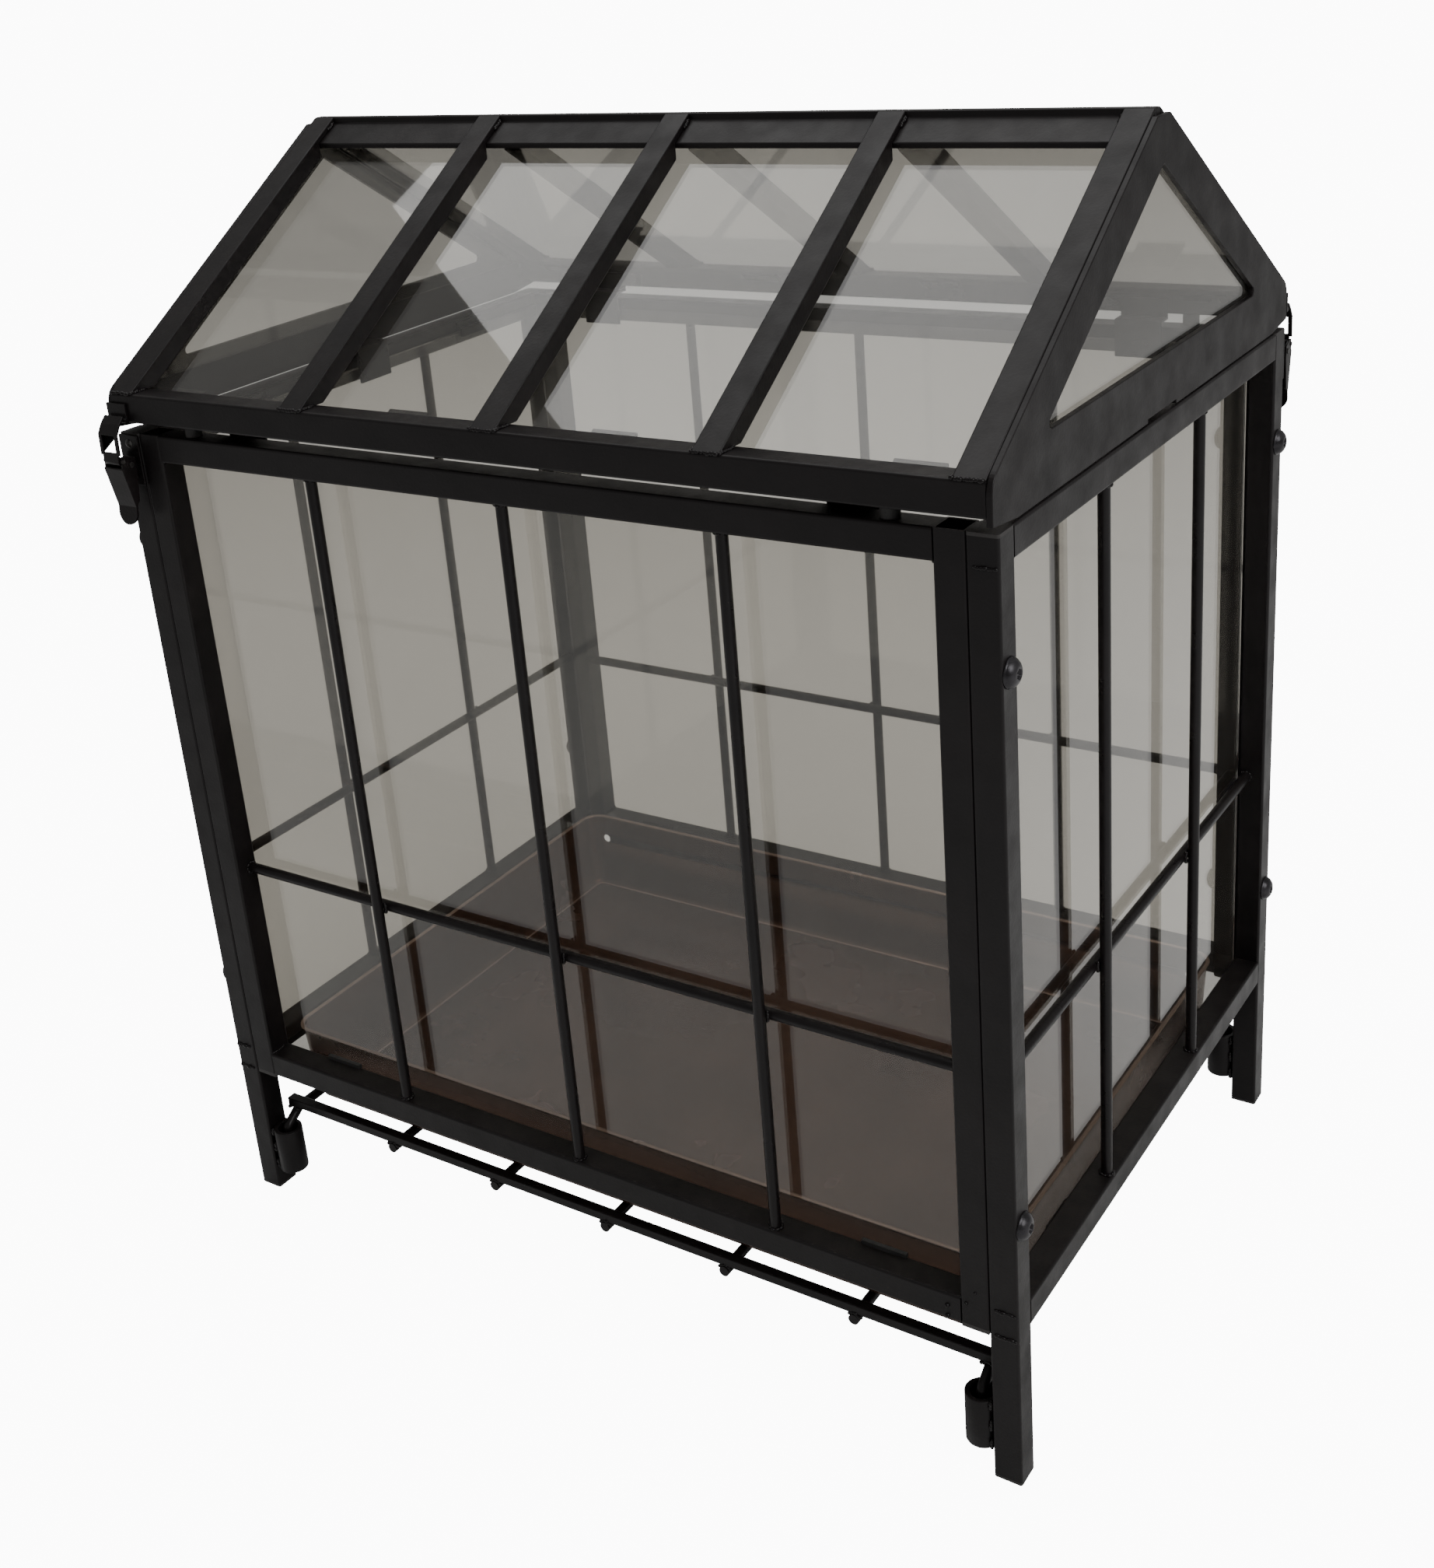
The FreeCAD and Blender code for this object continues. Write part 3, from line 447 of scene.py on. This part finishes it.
def eased(node, width, body, finish, steps=2, clear=0.0):
    # the same solid with its sharp edges rounded by width and marked as rubbed, and its corners
    # drawn in by clear where a hair of air lies between it and its neighbours
    work = bmesh.new()
    work.from_mesh(nodes[node].data)
    work.transform(nodes[node].matrix_world)
    bmesh.ops.remove_doubles(work, verts=work.verts, dist=1e-6)
    bmesh.ops.dissolve_limit(work, angle_limit=math.radians(1), verts=work.verts, edges=work.edges)
    work.normal_update()
    for v in work.verts:
        v.co -= v.normal * clear
    sharp = [e for e in work.edges if len(e.link_faces) == 2 and e.calc_face_angle() > 0.6]
    fresh = bmesh.ops.bevel(work, geom=sharp, offset=width, segments=steps, profile=0.5,
                            affect="EDGES", clamp_overlap=True)["faces"]
    fresh = set(fresh)
    mark = work.faces.layers.float.new("rubbed")
    for f in work.faces:
        f[mark] = 1.0 if f in fresh else 0.0
        curved = False
        for e in f.edges:
            if len(e.link_faces) == 2:
                other = e.link_faces[0] if e.link_faces[1] is f else e.link_faces[1]
                if other not in fresh and 0.01 < e.calc_face_angle() < 0.6:
                    curved = True
        narrow = f.calc_area() < 0.0015 * max(e.calc_length() for e in f.edges)
        f.smooth = (curved and narrow) or f in fresh
    bmesh.ops.recalc_face_normals(work, faces=work.faces)
    made = bpy.data.meshes.new(node + "_eased")
    work.to_mesh(made)
    work.free()
    made.materials.append(finish)
    piece = bpy.data.objects.new(node + "_eased", made)
    bpy.context.collection.objects.link(piece)
    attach(piece, body)
    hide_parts(node)
    return piece


glass = sheet_glass("sheet_glass", (0.70, 0.68, 0.635), 0.014)
for node in ("pane_front", "pane_rear", "pane_left", "pane_right"):
    eased(node, 0.0004, "frame", glass, 1, 0.00012)

# ---- Pane clips and glazing blocks
# Z-folded strips of 1.4 mm sheet, enamelled with the frame, nip the panes against the rails. Short
# strips of black rubber lie on the bottom rails in front of the long panes.
rubber = simple_finish("black_rubber", (0.009, 0.009, 0.009), (0.022, 0.021, 0.020), 120, 0.62, 0.45)
coat(bar_enamel, "pane_clips")
coat(rubber, "glazing_blocks")

# ---- Lid frame
# Laser-cut 3 mm gable plates, two eave rails of the square tube, a folded ridge rail and ten flat
# rafters, welded into one piece. The cut edges are eased, and the enamel is thin on them.


plate_enamel = black_enamel("plate_black_enamel", 0.36, 0.05)
for node in ("gable_left", "gable_right"):
    eased(node, 0.0004, "lid", plate_enamel)
for node in ("rafters_front", "rafters_rear", "ridge_rail"):
    eased(node, 0.0006, "lid", enamel)
coat(enamel, "eave_rail_front", "eave_rail_rear")

# ---- Lid panes
# One sheet of the same glass under each slope, in one length from gable to gable, and a small
# triangle behind each gable window.
roof_glass = sheet_glass("roof_glass", (0.80, 0.785, 0.745), 0.02)
for node in ("roof_pane_front", "roof_pane_rear", "gable_panes"):
    eased(node, 0.0004, "lid", roof_glass, 1, 0.00012)

# ---- Lid clips, tabs, screws and rests
# Folded strips hold the lower edges of the roof panes. Stepped tabs hang down inside the body so
# that the lid can't slide off; those at front and rear have a slotted screw. Rubber buttons under
# the eaves keep steel off steel.
coat(bar_enamel, "lid_pane_clips")
eased("lid_tabs", 0.0003, "lid", bar_enamel)
coat(bolt_black, "lid_screws")
coat(rubber, "lid_rests")

# ---- Draw latches
# Two pressed-steel draw latches, sprayed with the cabinet: a riveted base with a knuckle, a lever
# on a hard pin, a strap with a square window and a rolled eye, and a keeper under the eave.
latch_enamel = black_enamel("latch_black_enamel", 0.24, 0.05)
pin_steel = simple_finish("pin_steel", (0.045, 0.043, 0.043), (0.13, 0.125, 0.12), 240, 0.28, 0.2, 0.9)
eased("latch_bases", 0.00025, "frame", latch_enamel)
eased("latch_keepers", 0.00025, "lid", latch_enamel)
for end in ("front", "rear"):
    eased("latch_lever_" + end, 0.00025, end + "_lever", latch_enamel)
    eased("latch_strap_" + end, 0.00025, end + "_strap", latch_enamel)
coat(pin_steel, "latch_pivot_pins", "latch_rivets", "latch_strap_pin_front", "latch_strap_pin_rear")

# ---- Tray
# A drip tray pressed from 1.2 mm steel, with soft bends, leaning walls and a small rolled rim. It
# has a glossy bronze-brown stove enamel, lightly scratched by pots on the floor. Two holes near
# the ends of the rear wall let surplus water out.
low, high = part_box("tray")
rim_x = high[0]
rim_y = high[1]
floor_z = low[2]
height = high[2] - low[2]
sheet = 0.0012
rim_out = 0.0055
corner = 0.008
bend = 0.005
bend_in = bend - sheet
flare = 0.004
bronze = bpy.data.materials.new("bronze_brown_enamel")
bronze.use_nodes = True
tree = bronze.node_tree
shader = tree.nodes["Principled BSDF"]
shader.inputs["Metallic"].default_value = 0.55
shader.inputs["Specular IOR Level"].default_value = 0.2
shader.inputs["Coat Weight"].default_value = 0.03
shader.inputs["Coat Roughness"].default_value = 0.1
place = tree.nodes.new("ShaderNodeTexCoord")
cloud = tree.nodes.new("ShaderNodeTexNoise")
cloud.inputs["Scale"].default_value = 14
cloud.inputs["Detail"].default_value = 7
tone = tree.nodes.new("ShaderNodeValToRGB")
tone.color_ramp.elements[0].position = 0.3
tone.color_ramp.elements[0].color = (0.060, 0.030, 0.021, 1)
tone.color_ramp.elements[1].position = 0.72
tone.color_ramp.elements[1].color = (0.100, 0.054, 0.038, 1)
lay = tree.nodes.new("ShaderNodeMapping")
lay.inputs["Rotation"].default_value = (0, 0, 0.5)
lay.inputs["Scale"].default_value = (26, 900, 60)
drawn = tree.nodes.new("ShaderNodeTexNoise")
drawn.inputs["Detail"].default_value = 1
scratch = tree.nodes.new("ShaderNodeMapRange")
scratch.inputs["From Min"].default_value = 0.72
scratch.inputs["From Max"].default_value = 0.78
scratch.inputs["To Max"].default_value = 0.2
lime = tree.nodes.new("ShaderNodeMix")
lime.data_type = "RGBA"
lime.inputs["B"].default_value = (0.16, 0.125, 0.105, 1)
gloss = tree.nodes.new("ShaderNodeMapRange")
gloss.inputs["From Min"].default_value = 0.3
gloss.inputs["From Max"].default_value = 0.72
gloss.inputs["To Min"].default_value = 0.16
gloss.inputs["To Max"].default_value = 0.30
skin = tree.nodes.new("ShaderNodeBump")
skin.inputs["Strength"].default_value = 0.12
skin.inputs["Distance"].default_value = 0.0008
# painted highlight: a paler colour in thin bands along the rim's edge and along the bend round the floor,
# at those heights only
level_at = tree.nodes.new("ShaderNodeSeparateXYZ")
highlight_lines = tree.nodes.new("ShaderNodeMath")
highlight_lines.operation = "MAXIMUM"
for k, (middle_z, half) in enumerate(((high[2], 0.0007), (floor_z + sheet + 0.0003, 0.0002))):
    line = tree.nodes.new("ShaderNodeMath")
    line.operation = "COMPARE"
    line.inputs[1].default_value = middle_z
    line.inputs[2].default_value = half
    wire(tree,
         (level_at.outputs["Z"], line.inputs[0]),
         (line.outputs[0], highlight_lines.inputs[k]))
highlight_share = tree.nodes.new("ShaderNodeMath")
highlight_share.operation = "MULTIPLY"
highlight_share.inputs[1].default_value = 0.6
# the painted highlight bands mix this paler colour into the enamel
edges = tree.nodes.new("ShaderNodeMix")
edges.data_type = "RGBA"
edges.inputs["B"].default_value = (0.40, 0.30, 0.25, 1)
wire(tree,
     (place.outputs["Object"], level_at.inputs[0]),
     (highlight_lines.outputs[0], highlight_share.inputs[0]),
     (highlight_share.outputs[0], edges.inputs["Factor"]),
     (lime.outputs["Result"], edges.inputs["A"]),
     (edges.outputs["Result"], shader.inputs["Base Color"]))
wire(tree,
     (place.outputs["Object"], cloud.inputs["Vector"]),
     (cloud.outputs["Fac"], tone.inputs["Fac"]),
     (place.outputs["Object"], lay.inputs["Vector"]),
     (lay.outputs["Vector"], drawn.inputs["Vector"]),
     (drawn.outputs["Fac"], scratch.inputs["Value"]),
     (scratch.outputs["Result"], lime.inputs["Factor"]),
     (tone.outputs["Color"], lime.inputs["A"]),
     (cloud.outputs["Fac"], gloss.inputs["Value"]),
     (gloss.outputs["Result"], shader.inputs["Roughness"]),
     (cloud.outputs["Fac"], skin.inputs["Height"]),
     (skin.outputs["Normal"], shader.inputs["Normal"]))

lean = flare / height


def tray_ring(out, z, sides=10):
    # a rounded rectangle, out from the floor's outline, at height z above the tray's underside
    half_x = rim_x - rim_out + out
    half_y = rim_y - rim_out + out
    r = max(corner + out, 0.0006)
    ring = []
    for sx, sy, start in ((1, 1, 0), (-1, 1, 90), (-1, -1, 180), (1, -1, 270)):
        for i in range(sides + 1):
            a = math.radians(start + 90 * i / sides)
            x = sx * (half_x - r) + r * math.cos(a)
            y = sy * (half_y - r) + r * math.sin(a)
            ring.append((x, y, floor_z + z))
    return ring


outside = [(-0.012, 0.0), (-0.0056, 0.0)]
for i in range(7):
    a = math.radians(86 * i / 6)
    outside.append((bend * math.sin(a) - bend, bend - bend * math.cos(a)))
outside += [(lean * 0.02, 0.02), (lean * 0.04, 0.04), (lean * 0.0508, 0.0508)]
rim = [(0.0046, height - 0.0013), (0.0053, height - 0.0011), (rim_out, height - 0.0006),
       (0.0053, height - 0.0001), (0.0048, height), (0.0036, height), (0.0030, height - 0.0003),
       (0.0027, height - 0.0010)]
inside = [(lean * 0.04 - sheet, 0.04), (lean * 0.02 - sheet, 0.02)]
for i in range(7):
    a = math.radians(86 - 86 * i / 6)
    inside.append((bend_in * math.sin(a) - bend, bend - bend_in * math.cos(a)))
inside += [(-0.0056, sheet), (-0.012, sheet)]
rows = [tray_ring(out, z) for out, z in outside + rim + inside]
count = len(rows[0])
points = [p for row in rows for p in row]
faces = [tuple(reversed(range(count)))]
for k in range(len(rows) - 1):
    for i in range(count):
        j = (i + 1) % count
        faces.append((k * count + i, k * count + j, (k + 1) * count + j, (k + 1) * count + i))
faces.append(tuple((len(rows) - 1) * count + i for i in range(count)))
pan = bpy.data.objects.new("drip_tray", panel("drip_tray", points, faces))
bpy.context.collection.objects.link(pan)
pan.data.materials.append(bronze)
drills = bmesh.new()
for side in (-1, 1):
    spot = Matrix.Translation((side * (rim_x - 0.015), rim_y - 0.003, floor_z + height - 0.0175))
    bmesh.ops.create_cone(drills, cap_ends=True, segments=32, radius1=0.003, radius2=0.003, depth=0.02,
                          matrix=spot @ Matrix.Rotation(math.pi / 2, 4, "X"))
drill_mesh = bpy.data.meshes.new("drills")
drills.to_mesh(drill_mesh)
drills.free()
drill = bpy.data.objects.new("drills", drill_mesh)
bpy.context.collection.objects.link(drill)
cut = pan.modifiers.new("drain_holes", "BOOLEAN")
cut.operation = "DIFFERENCE"
cut.object = drill
cut.solver = "EXACT"
bored = bpy.data.meshes.new_from_object(pan.evaluated_get(bpy.context.evaluated_depsgraph_get()))
bored.name = "drip_tray"
pan.modifiers.clear()
pan.data = bored
bpy.data.objects.remove(drill)
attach(pan, "tray")
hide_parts("tray")

# ---- Rack
# Two flat bars on seven round rods, arc-welded and enamelled black. The end rods are bent down at
# their ends and drop into short cups on the legs.
eased("rack_bars", 0.0005, "rack", bar_enamel)
eased("rack_sockets", 0.0004, "frame", enamel)
coat(bar_enamel, "rack_rods", "rack_end_rods")

# ---- Welds
# Short runs of electric-arc bead where bars, rails, rafters and rack rods meet, and lumps beside
# the cups, left unground and enamelled over. Each run is a row of overlapping drops, shiny where
# the enamel has pooled, with a little spatter beside the joints.
bead_enamel = black_enamel("bead_black_enamel", 0.12, 0.02)
random.seed(11)
drop_r = 0.0011
drop_profile = []
for i in range(7):
    a = math.pi * (i + 0.4) / 6.8
    drop_profile.append((-1.25 * drop_r * math.cos(a), drop_r * math.sin(a)))
drop = turned("drop", drop_profile, 9)


def jitter(amount):
    return random.uniform(-amount, amount)


def run(p, q, pitch=0.0015):
    # drops from p to q, each a little off the line
    p = Vector(p)
    q = Vector(q)
    steps = max(1, round((q - p).length / pitch))
    line = (q - p).normalized()
    spots = []
    for i in range(steps + 1):
        at = p.lerp(q, i / steps) + Vector((jitter(0.0002), jitter(0.0002), jitter(0.0002)))
        spots.append((tuple(at), tuple(line + Vector((jitter(0.25), jitter(0.25), jitter(0.25))))))
    return spots


def collar(x, y, z, r, axis, drops=8, start=0.0, sweep=2 * math.pi):
    # drops in a circle round the end of a bar that runs along axis
    spots = []
    for i in range(drops):
        a = start + sweep * i / drops
        c, s = r * math.cos(a), r * math.sin(a)
        turn_c, turn_s = -math.sin(a), math.cos(a)
        if axis == "z":
            spots.append(((x + c, y + s, z), (turn_c, turn_s, 0)))
        elif axis == "x":
            spots.append(((x, y + c, z + s), (0, turn_c, turn_s)))
        else:
            spots.append(((x + c, y, z + s), (turn_c, 0, turn_s)))
    return spots


low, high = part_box("front_bottom_rail")
sill_z = high[2]
rail_low = low[2]
stile_x = high[0]
rail_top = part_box("front_top_rail")[0][2]
bar_r = 0.003
frame_spots = []
for node, faces_y in (("panel_bars", True), ("side_bars", False)):
    low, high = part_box(node)
    for side in (-1, 1):
        if faces_y:
            ends = [(x, side * (high[1] - bar_r)) for x in (low[0] + bar_r, 0.0, high[0] - bar_r)]
        else:
            ends = [(side * (high[0] - bar_r), y) for y in (low[1] + bar_r, high[1] - bar_r)]
        for x, y in ends:
            frame_spots += collar(x, y, sill_z + 0.0003, bar_r + 0.0001, "z")
            frame_spots += collar(x, y, rail_top - 0.0003, bar_r + 0.0001, "z")
low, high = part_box("panel_cross_bars")
for side in (-1, 1):
    for end in (low[0], high[0]):
        frame_spots += collar(end * 0.9995, side * (high[1] - bar_r), high[2] - bar_r, bar_r, "x")
    for x in (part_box("panel_bars")[0][0] + bar_r, 0.0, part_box("panel_bars")[1][0] - bar_r):
        y = side * (high[1] - 0.0002)
        frame_spots += run((x - 0.0026, y, high[2] - 0.0008), (x - 0.0026, y, high[2] - 0.0052), 0.0017)
        frame_spots += run((x + 0.0026, y, high[2] - 0.0008), (x + 0.0026, y, high[2] - 0.0052), 0.0017)
low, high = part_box("side_cross_bars")
for side in (-1, 1):
    for end in (low[1], high[1]):
        frame_spots += collar(side * (high[0] - bar_r), end * 0.9995, high[2] - bar_r, bar_r, "y")
    for y in (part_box("side_bars")[0][1] + bar_r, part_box("side_bars")[1][1] - bar_r):
        x = side * (high[0] - 0.0002)
        frame_spots += run((x, y - 0.0026, high[2] - 0.0008), (x, y - 0.0026, high[2] - 0.0052), 0.0017)
        frame_spots += run((x, y + 0.0026, high[2] - 0.0008), (x, y + 0.0026, high[2] - 0.0052), 0.0017)
# rails to stiles and to legs, in the inner corners
face_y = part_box("front_bottom_rail")[0][1]
stile_x_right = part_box("front_stile_right")[0][0]
for side in (-1, 1):
    for face in (-1, 1):
        x = side * stile_x
        for z in (sill_z, rail_top, rail_low):
            frame_spots += run((x, face * (abs(face_y) - 0.002), z), (x, face * (abs(face_y) - 0.011), z))
        y = face * (mid_y - tube / 2)
        for z in (sill_z, rail_top, rail_low):
            frame_spots += run((side * (side_x - 0.002), y, z), (side * (side_x - 0.011), y, z))
# cups to legs: a lump low down, one half way up and one near the rim, on both sides of the cup
cup_low, cup_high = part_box("rack_sockets")
cup_mid = (cup_low[2] + cup_high[2]) / 2
lumps = ((cup_low[2] + 0.0005, cup_low[2] + 0.005), (cup_mid - 0.002, cup_mid + 0.0025),
         (cup_high[2] - 0.004, cup_high[2] - 0.001))
for side in (-1, 1):
    for face in (-1, 1):
        for y_off in (-0.0058, 0.0058):
            for z0, z1 in lumps:
                x = side * (side_x - tube - 0.0014)
                frame_spots += run((x, face * mid_y + y_off, z0), (x, face * mid_y + y_off, z1), 0.0012)
# four drops of spatter round the front panel's lower right corner, in mm from that corner
for across, rise in ((8, 6), (3, -2), (-7, -7), (-7, -13)):
    frame_spots.append(((stile_x_right + across / 1000, face_y + 0.0002, sill_z + rise / 1000), (0, 1, 0)))
frame_welds = scattered("frame_welds", frame_spots, "frame", drop, bead_enamel, 4, 0.75, 1.25, any_angle)

lid_spots = []
low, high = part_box("rafters_front")
eave_low, eave_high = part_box("eave_rail_front")
fall = math.atan2(high[2] - eave_high[2], high[1] - low[1])
step = (high[0] - low[0] - tube) / 4
for face in (-1, 1):
    for i in range(5):
        x = low[0] + tube / 2 + step * i
        for side in (-1, 1):
            at = x + side * (tube / 2 + 0.0001)
            if abs(at) < eave_high[0] - 0.0015:
                foot_y = abs(low[1])
                lid_spots += run((at, face * (foot_y - 0.0012), eave_high[2] + 0.0003),
                                 (at, face * (foot_y - 0.0105), eave_high[2] + 0.0003))
                top_z = high[2] - 0.0035
                low_z = top_z - 0.0043 * math.tan(fall)
                lid_spots += run((at, face * 0.0042, top_z), (at, face * 0.0085, low_z), 0.0013)
        foot_end = face * (abs(low[1]) - 0.0003)
        lid_spots += run((x - tube / 2 + 0.002, foot_end, eave_high[2] + 0.0002),
                         (x + tube / 2 - 0.002, foot_end, eave_high[2] + 0.0002), 0.0019)
# gable plates to the eave rails, in short stitches
plate_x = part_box("gable_right")[0][0]
stitches = ((eave_low[2] + 0.001, eave_low[2] + 0.005), (eave_high[2] - 0.005, eave_high[2] - 0.001))
for side in (-1, 1):
    for face in (-1, 1):
        for z0, z1 in stitches:
            lid_spots += run((side * plate_x, face * (abs(eave_low[1]) - tube), z0),
                             (side * plate_x, face * (abs(eave_low[1]) - tube), z1))
lid_welds = scattered("lid_welds", lid_spots, "lid", drop, bead_enamel, 6, 0.7, 1.2, any_angle)

rack_spots = []
bar_low, bar_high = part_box("rack_bars")
rod_low, rod_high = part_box("rack_rods")
rod_step = (rod_high[0] - rod_low[0] - 2 * bar_r) / 4
rods = [rod_low[0] + bar_r + rod_step * i for i in range(5)]
rods += [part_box("rack_end_rods")[0][0] + bar_r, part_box("rack_end_rods")[1][0] - bar_r]
for x in rods:
    for face in (-1, 1):
        for y in (bar_high[1] - 0.0004, bar_high[1] - 0.0056):
            for side in (-1, 1):
                rack_spots += run((x + side * 0.0010, face * y, bar_low[2] + 0.0003),
                                  (x + side * 0.0032, face * y, bar_low[2] - 0.0010), 0.0012)
rack_welds = scattered("rack_welds", rack_spots, "rack", drop, bead_enamel, 8, 0.8, 1.2, any_angle)

# ---- Stage
# A plain pale floor and an even white room with two soft lamps. To the camera's own rays the floor
# and the room are far brighter than their light on the cabinet, so that the backdrop shows white.
ground = bpy.data.meshes.new("floor")
ground.from_pydata([(-30, -30, 0), (30, -30, 0), (30, 30, 0), (-30, 30, 0)], [], [(0, 1, 2, 3)])
floor = bpy.data.objects.new("floor", ground)
bpy.context.collection.objects.link(floor)
pale = bpy.data.materials.new("pale_floor")
pale.use_nodes = True
pale.node_tree.nodes["Principled BSDF"].inputs["Base Color"].default_value = (0.9, 0.9, 0.895, 1)
pale.node_tree.nodes["Principled BSDF"].inputs["Roughness"].default_value = 0.75
lit = pale.node_tree.nodes.new("ShaderNodeEmission")
lit.inputs["Strength"].default_value = 14
seen_first = pale.node_tree.nodes.new("ShaderNodeLightPath")
share = pale.node_tree.nodes.new("ShaderNodeMath")
share.operation = "MULTIPLY"
share.inputs[1].default_value = 0.8
blend = pale.node_tree.nodes.new("ShaderNodeMixShader")
wire(pale.node_tree,
     (seen_first.outputs["Is Camera Ray"], share.inputs[0]),
     (share.outputs[0], blend.inputs[0]),
     (pale.node_tree.nodes["Principled BSDF"].outputs[0], blend.inputs[1]),
     (lit.outputs[0], blend.inputs[2]),
     (blend.outputs[0], pale.node_tree.nodes["Material Output"].inputs["Surface"]))
ground.materials.append(pale)

world = bpy.data.worlds.new("studio")
bpy.context.scene.world = world
world.use_nodes = True
backdrop = world.node_tree.nodes.new("ShaderNodeLightPath")
room = world.node_tree.nodes.new("ShaderNodeMapRange")
room.inputs["To Min"].default_value = 0.36
room.inputs["To Max"].default_value = 11.2
world.node_tree.nodes["Background"].inputs["Color"].default_value = (1, 0.99, 0.97, 1)
wire(world.node_tree,
     (backdrop.outputs["Is Camera Ray"], room.inputs["Value"]),
     (room.outputs["Result"], world.node_tree.nodes["Background"].inputs["Strength"]))


def softbox(name, spot, aim, size, power):
    lamp = bpy.data.lights.new(name, "AREA")
    lamp.shape = "SQUARE"
    lamp.size = size
    lamp.energy = power
    stand = bpy.data.objects.new(name, lamp)
    bpy.context.collection.objects.link(stand)
    stand.location = spot
    stand.rotation_euler = (Vector(aim) - Vector(spot)).to_track_quat("-Z", "Y").to_euler()


middle = (0, 0, 0.3)
softbox("key_softbox", (2.2, -0.6, 1.9), middle, 1.6, 42)
softbox("top_softbox", (-0.4, 0.4, 2.6), middle, 2.0, 26)

# ---- Camera
# A normal lens with its frame shifted. It stands out beyond the front right corner, a little higher
# than the ridge, looks down on the cabinet and is tilted slightly.
turn = -0.6192
dip = 0.3658
tilt = -0.0901
ahead = Vector((math.sin(turn) * math.cos(dip), math.cos(turn) * math.cos(dip), -math.sin(dip)))
level = Vector((math.cos(turn), -math.sin(turn), 0))
above = level.cross(ahead)
right = math.cos(tilt) * level + math.sin(tilt) * above
up = -math.sin(tilt) * level + math.cos(tilt) * above
lens = bpy.data.cameras.new("camera")
lens.sensor_fit = "HORIZONTAL"
lens.sensor_width = 36
lens.lens = 48.604
lens.shift_x = 0.0326
lens.shift_y = -0.111
lens.clip_end = 100
camera = bpy.data.objects.new("camera", lens)
bpy.context.collection.objects.link(camera)
pose = Matrix((right, up, -ahead)).transposed().to_4x4()
pose.translation = Vector((0.575, -0.8567, 0.7474))
camera.matrix_world = pose
bpy.context.scene.camera = camera
